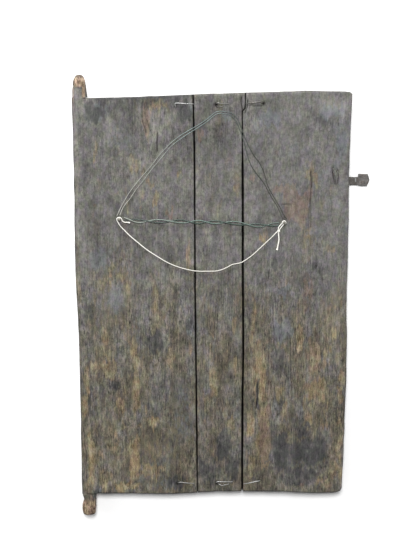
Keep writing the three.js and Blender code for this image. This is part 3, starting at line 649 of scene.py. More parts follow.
def back_hollow(x, y):
    """How far the back has sunk below the flat that the board was split to."""
    lower = step_up(-y, -100, 120)
    hollow = scoops(x, y, 11, (-215, 185, -290, 305), 1.0) * (1.25 - 0.7 * lower)
    hollow += 0.45 * (1 + uneven(x, y, 60, 90, 12))
    hollow += 0.30 * (0.5 + lower) * np.abs(uneven(x, y, 2.6, 22, 13))
    hollow += 0.14 * (1 + uneven(x, y, 5, 12, 14))
    hollow += 0.10 * (1 + uneven(x, y, 2.3, 5, 15))
    hollow += 0.30 * strength_of(worn_places, x, y, 21)
    hollow += crack_depth(x, y) + 1.2 * hole_depth(x, y)
    return hollow


def front_depth(x, y):
    """Height of the front above the tops of the carving."""
    raised = step_up(front_carving(x, y), -carved_slope / 2, carved_slope / 2)
    ground = ground_z + 0.5 * scoops(x, y, 31, (-215, 185, -290, 305), 1.0)
    top = 0.22 * (1 + uneven(x, y, 18, 40, 32)) + 0.08 * np.abs(uneven(x, y, 2.6, 60, 33))
    return ground * (1 - raised) + top * raised


# %% [markdown]
# The gaps between the boards are open at the back but dark. Boards dressed by hand seldom
# have square edges, so here each joint edge leans out below the surface until the two boards
# nearly touch, and no light from below comes through. Below the surface the joint walls are
# also painted dark, as painted shade.

# %% Send every point of a block to its place on the board
def shape_board(block, left_side, right_side, wear, lean, stile=False):
    mesh = block.data
    places = np.empty(len(mesh.vertices) * 3, dtype=np.float64)
    mesh.vertices.foreach_get("co", places)
    u, v, w = (places.reshape(-1, 3) + 0.5).T
    beyond_top, beyond_bottom = np.maximum(v - 1, 0), np.maximum(-v, 0)
    u0, v0 = np.clip(u, 0, 1), np.clip(v, 0, 1)
    even = lambda t: t - 0.22 * np.sin(2 * math.pi * t) / (2 * math.pi)
    u1, v1 = even(u0), even(v0)
    y = -284 + 580 * v1
    for _ in range(4):
        x_left, x_right = left_side(y), right_side(y)
        x = x_left + (x_right - x_left) * u1
        y_low, y_high = along_edge(bottom_edge, x), along_edge(top_edge, x)
        y_low = y_low + 0.4 * uneven(x, y * 0, 14, 9, 41)
        y_high = y_high + 0.35 * uneven(x, y * 0, 11, 9, 42)
        y = y_low + (y_high - y_low) * v1
    to_left, to_right, to_low, to_high = x - x_left, x_right - x, y - y_low, y_high - y
    if stile:
        to_high = to_high + 6 * (1 - step_up(x - top_peg["middle"], 9.5, 13))
        to_low = to_low + 6 * (1 - step_up(x - bottom_peg["middle"], 10, 14))
    varied = 1 + 0.35 * uneven(x, y, 22, 30, 43)
    fall_back = np.maximum.reduce([
        rounded(to_left, wear[0] * varied), rounded(to_right, wear[1] * varied),
        rounded(to_low, edge_wear["outer"] * varied), rounded(to_high, edge_wear["outer"] * varied)])
    fall_front = np.maximum.reduce([
        rounded(to_left, 2.4), rounded(to_right, 2.4), rounded(to_low, 2.4), rounded(to_high, 2.4)])
    if stile:
        worn_round = np.clip(1 - to_left / stile_width, 0, 1)
        fall_back = np.maximum(fall_back, stile_fall * (1 - np.sqrt(np.maximum(1 - worn_round**2, 0))))
    high = back_z - back_hollow(x, y) - fall_back
    low = front_depth(x, y) + fall_front
    z = low + (high - low) * w
    below = step_up(0.80 - w, 0, 0.25)
    x = x - lean[0] * below * (1 - u1) + lean[1] * below * u1
    crooked = 0.9 * step_up(0.5 - w, 0, 0.3)
    x = x + crooked * (u1**6 + (1 - u1) ** 6)
    if stile:
        x, y, z = with_pegs(u, w, beyond_top, beyond_bottom, x, y, z)
    x, y = np.clip(x, box_low[0], box_high[0]), np.clip(y, box_low[1], box_high[1])
    mesh.vertices.foreach_set("co", (np.column_stack([x, y, z]) * MM).ravel())
    mesh.update()
    return x, y, z


# %% A square of faces becomes a carved peg
def with_pegs(u, w, beyond_top, beyond_bottom, x, y, z):
    for peg, beyond in ((top_peg, beyond_top), (bottom_peg, beyond_bottom)):
        on_peg = beyond > 1e-6
        share = u[on_peg].max()
        profile = np.array(peg["profile"])
        level = np.round(beyond[on_peg] / 0.05).astype(int) - 1
        heights, left, right, deep = profile[level].T
        a = 2 * u[on_peg] / share - 1
        b = 2 * w[on_peg] - 1
        round_a, round_b = a * np.sqrt(1 - b * b / 2), b * np.sqrt(1 - a * a / 2)
        blend = np.clip((level + 1) / 4, 0, 1) * (1 - peg["squareness"])
        side_a = 0.94 * a * (1 - blend) + round_a * blend
        side_b = 0.92 * b * (1 - blend) + round_b * blend
        last = level == len(profile) - 1
        crown = np.where(last, 0.4 * (1 - side_a**2 - side_b**2), 0)
        end = 1 if heights[0] > 0 else -1
        lumps = 1 + 0.04 * uneven(np.arctan2(side_b, side_a) * 6, heights, 3, 6, 51)
        x[on_peg] = (left + right) / 2 + side_a * (right - left) / 2 * lumps
        z[on_peg] = (ground_z + back_z) / 2 + side_b * deep * lumps
        y[on_peg] = heights + end * np.clip(crown, 0, 1)
    return x, y, z


# %% Paint the marks into attributes that the wood material reads
def paint(mesh, name, values):
    layer = mesh.attributes.new(name, "FLOAT", "POINT")
    layer.data.foreach_set("value", np.asarray(values, dtype=np.float32))


def paint_marks(mesh, x, y, z):
    on_back = step_up(z, 18, 27)
    low_end = step_up(-y, -110, 60)
    right_top = step_up(x, 0, 80) * (1 - low_end)
    on_board = step_up(x, -188, -183)
    under_top, over_low = along_edge(top_edge, x) - y, y - along_edge(bottom_edge, x)
    # Painted shade: a dark rim along the bottom edge, along the top edge left of x -30 and, at half strength, along
    # the right edge, added to the dark marks.
    edge_shade = np.maximum((1 - step_up(under_top, 1.5, 5)) * step_up(-x, 30, 45), 1 - step_up(over_low, 1, 3.6))
    edge_shade = np.maximum(edge_shade, 0.5 - 0.5 * step_up(along_edge(right_edge, y) - x, 1, 3)) * on_board
    drift = 0.6 * uneven(x, y, 9, 30, 81) + 0.4 * uneven(x, y, 20, 46, 82)
    stray = 0.08 + 0.17 * low_end - 0.08 * right_top + 0.22 * drift
    worn = np.maximum(strength_of(worn_places, x, y, 21), stray) + sum_of(warm_places, x, y, 29)
    dark = np.maximum.reduce([strength_of(dark_places, x, y, 23), 0.18 - 0.24 * drift, 0.8 * edge_shade])
    worn *= 0.8 + 0.2 * low_end
    # Bluer toward the top end and at the top right.
    cooler_upwards = 0.5 * (1 - low_end) + 0.5 * right_top
    cold = np.maximum(strength_of(blue_places, x, y, 25), cooler_upwards * (0.30 + 0.24 * uneven(x, y, 18, 24, 85)))
    warm = (0.04 + 0.36 * low_end - 0.12 * right_top + 0.35 * worn
            + (0.26 + 0.16 * low_end) * uneven(x, y, 13, 34, 84))
    patchy = (0.15 * uneven(x, y, 7, 14, 91) + 0.12 * uneven(x, y, 15, 30, 92)
              + 0.09 * uneven(x, y, 44, 70, 93) - 0.03 * low_end) * (1 - 0.4 * right_top)
    # The tone patches also carry the painted highlight and shade of the stile and top peg, and the painted light along
    # the wires.
    patchy += sum_of(tone_places, x, y, 33) + stile_light_and_shade(x, y) + 0.16 * rubbed_and_lit_track(x, y)
    # Painted shade: cracks, the holes for the iron and the lines on the top peg are painted dark, as the shade inside
    # them.
    crevice_shade = np.clip((crack_depth(x, y) - 0.22) / 0.8, 0, 1)
    # Painted shade on the walls of the gaps between the boards, below the surface.
    from_joint = np.minimum(np.abs(x - along_edge(joint_left, y)), np.abs(x - along_edge(joint_right, y)))
    joint_gap_shade = (1 - step_up(from_joint, 1.3, 2.0)) * (1 - step_up(z, back_z - 4, back_z - 1.2))
    paint(mesh, "warm", warm * on_back + 0.4 * (1 - on_back))
    paint(mesh, "patchy", patchy)
    paint(mesh, "worn", worn * on_back + 0.25 * (1 - on_back))
    paint(mesh, "dark", dark * on_back + 0.3 * (1 - on_back))
    paint(mesh, "blue", cold * on_back)
    paint(mesh, "red", strength_of(red_places, x, y, 27) * on_back)
    crevice_shade = np.maximum.reduce([crevice_shade * on_back, hole_depth(x, y) * on_back, peg_lines(x, y)])
    paint(mesh, "crevice_shade", np.maximum(crevice_shade, joint_gap_shade))
    lively = (1.06 + 0.3 * uneven(x, y, 14, 30, 94)) * (1 - 0.55 * strength_of(smooth_places, x, y, 35))
    on_peg = step_up(np.abs(y), 300, 306) * (x < -180)
    paint(mesh, "grain", (0.56 + 0.50 * low_end - 0.12 * right_top) * lively * (1 - on_peg) + 1.5 * on_peg)
    paint(mesh, "pebbled", 0.62 - 0.36 * low_end)
    knob = step_up(y, 302, 306) * (1 - step_up(np.abs(x + 198.3), 4.6, 8)) * (1 - step_up(y, 313, 319))
    flank = step_up(y, 286, 293) * (1 - step_up(np.abs(x + 191.7), 1.4, 2.9))
    strip = step_up(y, 270, 290) * (1 - step_up(y, 301, 304)) * (1 - step_up(x, -206, -204.6))
    tip = step_up(-y, 293, 299)
    paint(mesh, "bare", np.where(x < -180, np.maximum.reduce([0.85 * knob, 0.7 * flank, 0.4 * strip]), 0))
    paint(mesh, "brown", np.where(x < -180, np.maximum(tip, 0.5 * step_up(y, 303, 306)), 0))


def rubbed_and_lit_track(x, y):
    """Paler wood along the slack wires, strongest toward the left nail: partly where they have rubbed it and partly
    painted light that lifts their shadows.
    """
    track = np.zeros_like(x)
    for route in (outer_route, inner_route):
        for spot in smooth_line(route, 2.5):
            near = (np.abs(x - spot[0]) < 5) & (np.abs(y - spot[1]) < 5)
            apart = np.hypot(x[near] - spot[0], y[near] - spot[1])
            track[near] = np.maximum(track[near], np.exp(-(apart / 2.2) ** 2))
    return track * (1 - 0.9 * step_up(x, -100, -30))


# Lights and darks on the knob of the top peg, most of them painted highlights and painted shade at its round sides: x,
# y, half width, half height, amount
knob_highlights_and_shade = [
    (-197.8, 309.6, 3.2, 2.8, -0.36), (-202.6, 311, 1.7, 3, 0.35), (-191.8, 312.2, 1.6, 3.2, 0.3),
    (-189.2, 311.6, 1.0, 5, -0.5), (-204.6, 313.4, 1.0, 4, -0.4), (-198, 301.8, 4, 1.5, -0.35),
    (-204.4, 298, 1.2, 5, 0.35),
]


def stile_light_and_shade(x, y):
    """Painted highlight on the rounded edge of the stile and painted shade in a darker line at its very edge; painted
    highlights and shade on the knob, and a dark rim of dirt and painted shade round the peg tips.
    """
    high_up = step_up(y, 60, 140)
    edge = along_edge(left_edge, y) - x
    stile_highlight = step_up(-edge, 1.2, 2.4) * (1 - step_up(-edge, 5.5, 9)) * high_up
    outline = 1 - step_up(-edge, 0.4, 1.6)
    spots = np.zeros_like(x)
    for spot_x, spot_y, wide, high, amount in knob_highlights_and_shade:
        spots += amount * np.exp(-((x - spot_x) / wide) ** 2 - ((y - spot_y) / high) ** 2)
    tip_dirt_and_shade = step_up(-y, 314, 319) + step_up(y, 315, 319) + step_up(np.abs(x + 198.3), 6.8, 8.4) * (y > 303)
    return 0.17 * stile_highlight + spots - 0.4 * outline * (np.abs(y) < 300) - 0.35 * np.clip(tip_dirt_and_shade, 0, 1)


def peg_lines(x, y):
    """Thin dark lines down the top peg, and a dark ring round its neck."""
    lines = np.zeros_like(x)
    for line_x, low_y, high_y, strong in ((-204.0, 268, 301, 0.5), (-188.9, 284, 302, 0.45), (-194.6, 290, 302, 0.3)):
        along = step_up(y, low_y, low_y + 6) * (1 - step_up(y, high_y, high_y + 3))
        lines = np.maximum(lines, strong * along * np.exp(-((x - line_x) / 0.8) ** 2))
    neck = 0.45 * np.exp(-((y - 303.6) / 1.1) ** 2) * (x < -180)
    return np.maximum(lines, neck * (0.4 + 0.6 * step_up(np.abs(x + 198.3), 3, 8)))


# %% The three boards
def finish_board(block, node):
    block.select_set(True)
    bpy.context.view_layer.objects.active = block
    bpy.ops.object.shade_smooth()
    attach(block, "root")
    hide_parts(node)
    block.data.calc_loop_triangles()
    print(block.name, "has", len(block.data.loop_triangles), "triangles")


def closed_low(y):
    """How much each side of the left joint closes in near the bottom."""
    return 0.12 + 0.4 * step_up(-y, 215, 265)


peg_levels = len(top_peg["profile"])
lean_left = joint_width_left / 2 - 0.12
lean_right = joint_width_right / 2 - 0.12
left_board = cut_block("board_left", [(8, 16), (10, 24), (5,)])
extrude_peg(left_board, 1, 0.108, peg_levels)
extrude_peg(left_board, -1, 0.114, peg_levels)
left_marks = shape_board(
    left_board,
    lambda y: along_edge(left_edge, y) + 0.4 * uneven(y * 0, y, 9, 18, 61),
    lambda y: along_edge(joint_left, y, -joint_width_left / 2) + closed_low(y) - 0.3 * np.abs(uneven(y * 0, y, 9, 7, 62)),
    (3.0, edge_wear["joint"]), (0, lean_left), stile=True)
paint_marks(left_board.data, *left_marks)
finish_board(left_board, "plank_left")

middle_board = cut_block("board_middle", [(61,), (10, 24), (5,)])
middle_marks = shape_board(
    middle_board,
    lambda y: along_edge(joint_left, y, joint_width_left / 2) - closed_low(y) + 0.3 * np.abs(uneven(y * 0, y, 9, 8, 63)),
    lambda y: along_edge(joint_right, y, -joint_width_right / 2) + 0.7 * step_up(y, 190, 230) - 0.3 * np.abs(uneven(y * 0, y, 9, 6, 64)),
    (edge_wear["joint"], edge_wear["joint"]), (lean_left, lean_right))
paint_marks(middle_board.data, *middle_marks)
finish_board(middle_board, "plank_middle")

right_board = cut_block("board_right", [(8, 14), (10, 24), (5,)])
right_marks = shape_board(
    right_board,
    lambda y: along_edge(joint_right, y, joint_width_right / 2) - 0.7 * step_up(y, 190, 230) + 0.3 * np.abs(uneven(y * 0, y, 9, 7, 65)),
    lambda y: along_edge(right_edge, y) + 0.4 * uneven(y * 0, y, 9, 16, 66),
    (edge_wear["joint"], 1.5), (lean_right, 0))
paint_marks(right_board.data, *right_marks)
finish_board(right_board, "plank_right")


# %% [markdown]
# ## Making materials
#
# A material here is a small graph: coordinates, some noise, a ramp that turns the noise into
# colours, and a bump. These helpers only add one node each and join it up, so that the wood
# and the metal below can be read as a list of layers.

# %% Helpers for materials
def start_material(name, roughness, metallic=0.0, specular=0.3):
    material = bpy.data.materials.new(name)
    material.use_nodes = True
    shader = material.node_tree.nodes["Principled BSDF"]
    shader.inputs["Roughness"].default_value = roughness
    shader.inputs["Metallic"].default_value = metallic
    shader.inputs["Specular IOR Level"].default_value = specular
    coordinates = material.node_tree.nodes.new("ShaderNodeTexCoord").outputs["Object"]
    return material, material.node_tree, shader, coordinates


light_share = 0.70


def linear(red, green, blue):
    """The 0 to 255 values wanted in the picture, as the linear colour that a socket holds.

    The light is strong enough to turn the floor pure white, so all colours are entered darker.
    """
    one = lambda v: v / 12.92 if v <= 0.04045 else ((v + 0.055) / 1.055) ** 2.4
    return (light_share * one(red / 255), light_share * one(green / 255), light_share * one(blue / 255), 1)


def noise(tree, coordinates, stretch, detail=4, roughness=0.55, distortion=0.0, offset=(0, 0, 0)):
    """Noise whose grain measures the given millimetres along x, y and z."""
    mapping = tree.nodes.new("ShaderNodeMapping")
    mapping.inputs["Scale"].default_value = [1 / (s * MM) for s in stretch]
    mapping.inputs["Location"].default_value = offset
    tree.links.new(coordinates, mapping.inputs["Vector"])
    texture = tree.nodes.new("ShaderNodeTexNoise")
    texture.inputs["Scale"].default_value = 1
    texture.inputs["Detail"].default_value = detail
    texture.inputs["Roughness"].default_value = roughness
    texture.inputs["Distortion"].default_value = distortion
    tree.links.new(mapping.outputs["Vector"], texture.inputs["Vector"])
    return texture.outputs["Fac"]


def ramp(tree, value, stops):
    node = tree.nodes.new("ShaderNodeValToRGB")
    elements = node.color_ramp.elements
    while len(elements) < len(stops):
        elements.new(0.5)
    for element, (position, colour) in zip(elements, stops):
        element.position = position
        element.color = colour if hasattr(colour, "__len__") else (colour, colour, colour, 1)
    tree.links.new(value, node.inputs["Fac"])
    return node.outputs["Color"]


def mix(tree, amount, first, second, mode="MIX"):
    node = tree.nodes.new("ShaderNodeMix")
    node.data_type = "RGBA"
    node.blend_type = mode
    for socket, value in ((node.inputs[0], amount), (node.inputs[6], first), (node.inputs[7], second)):
        if hasattr(value, "is_linked"):
            tree.links.new(value, socket)
        else:
            socket.default_value = value
    return node.outputs[2]


def maths(tree, operation, first, second=None, clamp=False):
    node = tree.nodes.new("ShaderNodeMath")
    node.operation = operation
    node.use_clamp = clamp
    for socket, value in zip(node.inputs, (first, second)):
        if value is None:
            continue
        if hasattr(value, "is_linked"):
            tree.links.new(value, socket)
        else:
            socket.default_value = value
    return node.outputs["Value"]


def painted(tree, name):
    node = tree.nodes.new("ShaderNodeAttribute")
    node.attribute_name = name
    return node.outputs["Fac"]


def bump(tree, height, distance, strength=1.0, below=None):
    node = tree.nodes.new("ShaderNodeBump")
    node.inputs["Distance"].default_value = distance * MM
    node.inputs["Strength"].default_value = strength
    tree.links.new(height, node.inputs["Height"])
    if below is not None:
        tree.links.new(below, node.inputs["Normal"])
    return node.outputs["Normal"]


# %% [markdown]
# ## Weathered wood
#
# Old dark wood is never one brown. Here it is grey-brown along long fibres, with a slow
# change from plank to plank, and the painted marks choose where ochre, soot, blue-grey and
# red-brown come through, and where painted shade darkens the edges, cracks, holes and the gaps
# between boards. Each mark is multiplied by streaky noise, so its rim follows the grain and
# doesn't look like a stain.

# %% Wood material
def add_up(tree, start, parts):
    """The start value plus each noise, centred on nothing, times its weight."""
    for value, weight in parts:
        centred = maths(tree, "MULTIPLY", maths(tree, "SUBTRACT", value, 0.5), weight)
        start = maths(tree, "ADD", centred, start)
    return start


def three_tones(tree, tone, dark, middle, light):
    return ramp(tree, tone, [(0.0, linear(*dark)), (0.5, linear(*middle)), (1.0, linear(*light))])


def thin_lines(tree, field, width):
    """1 along the lines where a noise passes through its middle value, 0 away from them."""
    off = maths(tree, "ABSOLUTE", maths(tree, "SUBTRACT", field, 0.5))
    return ramp(tree, off, [(0.0, 1.0), (width, 0.0)])


def aged_wood(name, shade, seed):
    material, tree, shader, place = start_material(name, 0.62, specular=0.22)
    shift = (seed * 3.1, seed * 1.7, seed * 2.3)
    hatch = noise(tree, place, (1.25, 10, 5), detail=3, roughness=0.6, offset=shift)
    fibre = noise(tree, place, (1.5, 42, 9), detail=3, roughness=0.6, offset=shift)
    speck = noise(tree, place, (1.5, 2.2, 2.2), detail=2, roughness=0.6, offset=shift)
    pebble = noise(tree, place, (4.2, 5.2, 4.2), detail=3, roughness=0.55, offset=shift)
    blotch = noise(tree, place, (6.5, 11, 9), detail=4, roughness=0.6, offset=shift)
    ragged = noise(tree, place, (4.6, 13, 8), detail=3, roughness=0.58, offset=(7 + seed, 3, 1))
    stain = noise(tree, place, (5, 8, 8), detail=4, roughness=0.6, offset=(1, 9, seed))
    hue = noise(tree, place, (9, 16, 10), detail=2, roughness=0.5, offset=(3, 5, seed))
    grooves = thin_lines(tree, noise(tree, place, (4.2, 60, 12), detail=3, roughness=0.6, offset=shift), 0.03)
    crackle = thin_lines(tree, noise(tree, place, (4.5, 5.5, 5), detail=3, roughness=0.6, offset=shift), 0.03)
    fleck = noise(tree, place, (1.25, 8, 5), detail=2, roughness=0.5, offset=(4 + seed, 8, 2))
    dark_flecks = ramp(tree, fleck, [(0.585, 0.0), (0.67, 1.0)])
    light_flecks = ramp(tree, fleck, [(0.33, 1.0), (0.415, 0.0)])
    splinters = thin_lines(tree, noise(tree, place, (2.8, 20, 8), detail=3, roughness=0.6, offset=(2, 6, seed)), 0.022)

    grain = add_up(tree, 0.0, [(hatch, 0.7), (fibre, 0.75), (speck, 0.6), (blotch, 0.85)])
    tone = maths(tree, "MULTIPLY", grain, painted(tree, "grain"))
    pebbles = maths(tree, "MULTIPLY", maths(tree, "SUBTRACT", pebble, 0.5), painted(tree, "pebbled"))
    tone = maths(tree, "ADD", maths(tree, "ADD", tone, 0.59), maths(tree, "ADD", painted(tree, "patchy"), pebbles))
    tone = maths(tree, "SUBTRACT", tone, maths(tree, "MULTIPLY", grooves, maths(
        tree, "MULTIPLY", painted(tree, "grain"), 0.19)))
    tone = maths(tree, "SUBTRACT", tone, maths(tree, "MULTIPLY", crackle, 0.2))
    flecks = maths(tree, "SUBTRACT", maths(tree, "MULTIPLY", light_flecks, 0.20), maths(
        tree, "MULTIPLY", dark_flecks, 0.42))
    tone = maths(tree, "ADD", tone, maths(tree, "MULTIPLY", flecks, painted(tree, "grain")))
    violet = three_tones(tree, tone, (60, 59, 61), (109, 107, 108), (155, 152, 151))
    olive = three_tones(tree, tone, (60, 60, 57), (108, 107, 101), (154, 152, 143))
    grey = mix(tree, ramp(tree, hue, [(0.42, 0.0), (0.56, 1.0)]), violet, olive)
    umber = three_tones(tree, tone, (56, 53, 47), (103, 98, 86), (150, 142, 124))
    warm = add_up(tree, painted(tree, "warm"), [(ragged, 0.9)])
    colour = mix(tree, ramp(tree, warm, [(0.14, 0.0), (0.72, 1.0)]), grey, umber)

    ochre = three_tones(tree, tone, (84, 69, 50), (137, 119, 93), (184, 163, 130))
    straw = three_tones(tree, tone, (88, 81, 63), (139, 130, 106), (184, 176, 148))
    rosy = maths(tree, "SUBTRACT", hue, maths(tree, "MULTIPLY", painted(tree, "red"), 0.2))
    ochre = mix(tree, ramp(tree, rosy, [(0.44, 0.0), (0.58, 1.0)]), ochre, straw)
    worn = add_up(tree, painted(tree, "worn"), [(ragged, 0.9), (fibre, 0.5), (hatch, 0.12)])
    ochre = mix(tree, maths(tree, "MULTIPLY", splinters, 0.5), ochre, linear(196, 184, 150))
    colour = mix(tree, ramp(tree, worn, [(0.20, 0.0), (0.42, 0.26), (0.58, 0.56), (0.96, 1.0)]), colour, ochre)
    # Painted shade: a dark rim round each worn patch, as the shade at the broken skin's edge.
    skin_edge_shade = ramp(tree, worn, [(0.37, 0.0), (0.46, 0.26), (0.55, 0.0)])
    colour = mix(tree, maths(tree, "MULTIPLY", skin_edge_shade, painted(tree, "grain")), colour, linear(52, 50, 46))

    blue = add_up(tree, painted(tree, "blue"), [(stain, 0.8)])
    blue_grey = three_tones(tree, tone, (78, 80, 84), (112, 115, 119), (148, 149, 152))
    colour = mix(tree, ramp(tree, blue, [(0.40, 0.0), (0.54, 0.6), (0.78, 0.85)]), colour, blue_grey)
    # Soot, together with the painted shade along the board's edges and in the corner by the bottom peg, which share
    # the dark marks.
    soot_and_shade = three_tones(tree, tone, (46, 46, 47), (79, 79, 79), (116, 114, 111))
    dark = add_up(tree, painted(tree, "dark"), [(stain, 0.9), (speck, 0.4)])
    colour = mix(tree, ramp(tree, dark, [(0.40, 0.0), (0.56, 0.5), (0.80, 0.92)]), colour, soot_and_shade)
    russet = three_tones(tree, tone, (78, 62, 54), (124, 108, 98), (162, 146, 134))
    red = add_up(tree, painted(tree, "red"), [(ragged, 1.0)])
    colour = mix(tree, ramp(tree, red, [(0.40, 0.0), (0.56, 0.55), (0.78, 0.85)]), colour, russet)

    pale = three_tones(tree, tone, (72, 50, 36), (144, 115, 89), (226, 200, 172))
    colour = mix(tree, painted(tree, "bare"), colour, pale)
    brown = three_tones(tree, tone, (66, 50, 40), (158, 137, 115), (222, 198, 170))
    colour = mix(tree, painted(tree, "brown"), colour, brown)
    # Painted shade: cracks, holes, joint gaps and the lines on the top peg are darkened here, as the shade inside
    # them.
    colour = mix(tree, maths(tree, "MULTIPLY", painted(tree, "crevice_shade"), 0.95), colour, linear(38, 35, 32))
    tint = ramp(tree, noise(tree, place, (7, 9, 7), detail=1, roughness=0.5, offset=(9, 2, seed)),
                [(0.36, (1.0, 0.94, 1.0, 1)), (0.64, (0.95, 1.0, 0.92, 1))])
    colour = mix(tree, 1.0, colour, tint, "MULTIPLY")
    tree.links.new(mix(tree, 1.0, colour, shade, "MULTIPLY"), shader.inputs["Base Color"])

    tree.links.new(ramp(tree, blotch, [(0.3, 0.50), (0.7, 0.74)]), shader.inputs["Roughness"])
    fine = bump(tree, hatch, 0.30, 0.5)
    lined = bump(tree, maths(tree, "SUBTRACT", 1.0, maths(tree, "MAXIMUM", grooves, crackle)), 0.22, 0.6, below=fine)
    tree.links.new(bump(tree, ragged, 0.7, 0.6, below=lined), shader.inputs["Normal"])
    return material


def dress(piece, material):
    piece.data.materials.clear()
    piece.data.materials.append(material)


dress(left_board, aged_wood("aged_wood_left", (1.0, 1.0, 1.0, 1), 0.0))
dress(middle_board, aged_wood("aged_wood_middle", (0.95, 0.95, 0.95, 1), 1.3))
dress(right_board, aged_wood("aged_wood_right", (0.99, 0.99, 1.0, 1), 2.9))
print("wood is ready")

# %% [markdown]
# ## Iron
#
# The staples are bent from rough square-ish wire: a crown across each joint on the hidden
# front, two legs through the wood, and the tips hammered over on the back. A curve with a
# round section gives the bends, and the thickness at each point draws the legs out to thin
# tips. The curve is then made a mesh and knocked a little out of round.


# %% Iron bars from curves
def bar_from_line(name, line, radii, sides=3):
    """A mesh bar along a line in millimetres, with its own radius at each point."""
    bpy.ops.object.select_all(action="DESELECT")
    bpy.ops.curve.primitive_bezier_curve_add(location=(0, 0, 0))
    bar = bpy.context.object
    bar.name = name
    curve = bar.data
    curve.splines.clear()
    curve.dimensions = "3D"
    curve.bevel_depth = MM
    curve.bevel_resolution = sides
    curve.use_fill_caps = True
    spline = curve.splines.new("POLY")
    spline.points.add(len(line) - 1)
    for point, place, radius in zip(spline.points, line, radii):
        point.co = (*(float(v) * MM for v in place), 1)
        point.radius = float(radius)
    bpy.ops.object.convert(target="MESH")
    return bpy.context.object


def knock_out_of_round(piece, size, seed, cell=3.0):
    mesh = piece.data
    places = np.empty(len(mesh.vertices) * 3)
    mesh.vertices.foreach_get("co", places)
    places = places.reshape(-1, 3) / MM
    normals = np.empty(len(mesh.vertices) * 3)
    mesh.vertices.foreach_get("normal", normals)
    dent = uneven(places[:, 0] + places[:, 2] * 2, places[:, 1] - places[:, 2], cell, cell, seed) * size
    places += normals.reshape(-1, 3) * dent[:, None]
    mesh.vertices.foreach_set("co", (places * MM).ravel())
    mesh.update()


# %% The staples
crown_z = ground_z - 0.3 - wire_radius
clinch_z = back_z + 0.2
staple_clinches = {
    "staple_top_left": (((-64.9, 281.4), (-40.2, 280.4)), ((-7.6, 281.6), (8.4, 280.9))),
    "staple_top_right": (((-4, 276.9), (5.6, 277.8)), ((51, 283.2), (32.2, 281.2))),
    "staple_bottom_left": (((-61, -266.8), (-40.3, -268.9)), ((-4.6, -265.8), (15.8, -266.3))),
    "staple_bottom_right": (((0.4, -271.6), (10.6, -269.6)), ((49, -265.9), (32, -269.8))),
    "latch_staple": (((154.6, 187), (156.8, 171.2)), ((160.4, 184), (160.4, 171.8))),
}
latch_crown_z = crown_z - 3.3

# Painted highlight and painted shade on each staple, first the highlight and then the shade, each for the left leg and
# then the right one
leg_highlight_and_shade = {
    "staple_top_left": ((0.45, 0.05), (0, 0.4)), "staple_top_right": ((0, 0), (0.7, 0.7)),
    "staple_bottom_left": ((0.2, 0.4), (0.2, 0)), "staple_bottom_right": ((0.3, 0.3), (0, 0)),
    "latch_staple": ((0, 0), (0, 0)),
}


def clinched_leg(leg, bend, tip, sunk):
    """From below the back, out of the hole, over and down to the tip."""
    middle = ((bend[0] + tip[0]) / 2, (bend[1] + tip[1]) / 2)
    return [(*leg, back_z - 6), (*leg, back_z - 0.9), (*bend, clinch_z + 0.3 - sunk),
            (*middle, clinch_z + 0.4 - sunk), (*tip, clinch_z - 0.5 - sunk)]


for name, (first_leg, last_leg) in leg_places.items():
    first_clinch, last_clinch = staple_clinches[name]
    low = latch_crown_z if name == "latch_staple" else crown_z
    sunk = {"latch_staple": (0.9, 0.9), "staple_top_right": (1.8, 0.3)}.get(name, (0, 0))
    first = clinched_leg(first_leg, *first_clinch, sunk[0])
    last = clinched_leg(last_leg, *last_clinch, sunk[1])
    crown = [(*first_leg, low + 2), (*first_leg, low), (*last_leg, low), (*last_leg, low + 2)]
    line = smooth_line(first[::-1] + crown + last, 0.8)
    reach = np.minimum(np.arange(len(line)), np.arange(len(line))[::-1]) * 0.8
    thick = wire_radius * (0.40 + 0.30 * step_up(reach, 0, 14) + 0.30 * step_up(reach, 26, 36))
    staple = bar_from_line(name + "_forged", line, thick)
    knock_out_of_round(staple, 0.16, 71)
    spots = np.empty(len(staple.data.vertices) * 3)
    staple.data.vertices.foreach_get("co", spots)
    along_x = spots[0::3] / MM
    left_half = 1 - step_up(along_x, -38, -30)
    leg_highlight, leg_shade = leg_highlight_and_shade[name]
    paint(staple.data, "painted_highlight", leg_highlight[0] * left_half + leg_highlight[1] * (1 - left_half))
    paint(staple.data, "shade", leg_shade[0] * left_half + leg_shade[1] * (1 - left_half))
    # Painted shadow: the start of the leg is darkened where it comes out of its hole.
    if name in hole_shadow_spots:
        hole_x, hole_y = hole_shadow_spots[name]
        away = np.hypot(along_x - hole_x, spots[1::3] / MM - hole_y)
        paint(staple.data, "crevice_shade", 1.3 * np.exp(-(away / hole_shadow_radius) ** 2))
    bpy.ops.object.shade_smooth()
    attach(staple, "root")
    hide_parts(name)

# %% [markdown]
# ## The latch tongue
#
# Only its neck and head show, past the right edge. It is a flat bar with an eye at the hidden
# end. The outline is drawn as a flat curve with a hole, given thickness, and remeshed evenly,
# so that hammer marks can be pressed into it.

# %% Latch tongue
latch_top_z = ground_z - 0.3
latch_thickness = 3.0
eye_centre = (164.0, 185.0)
eye_inner = 6.2
eye_outer = 10.2


def arc(centre, radius, start, stop, count):
    angles = np.radians(np.linspace(start, stop, count))
    return [(centre[0] + radius * math.cos(a), centre[1] + radius * math.sin(a)) for a in angles]


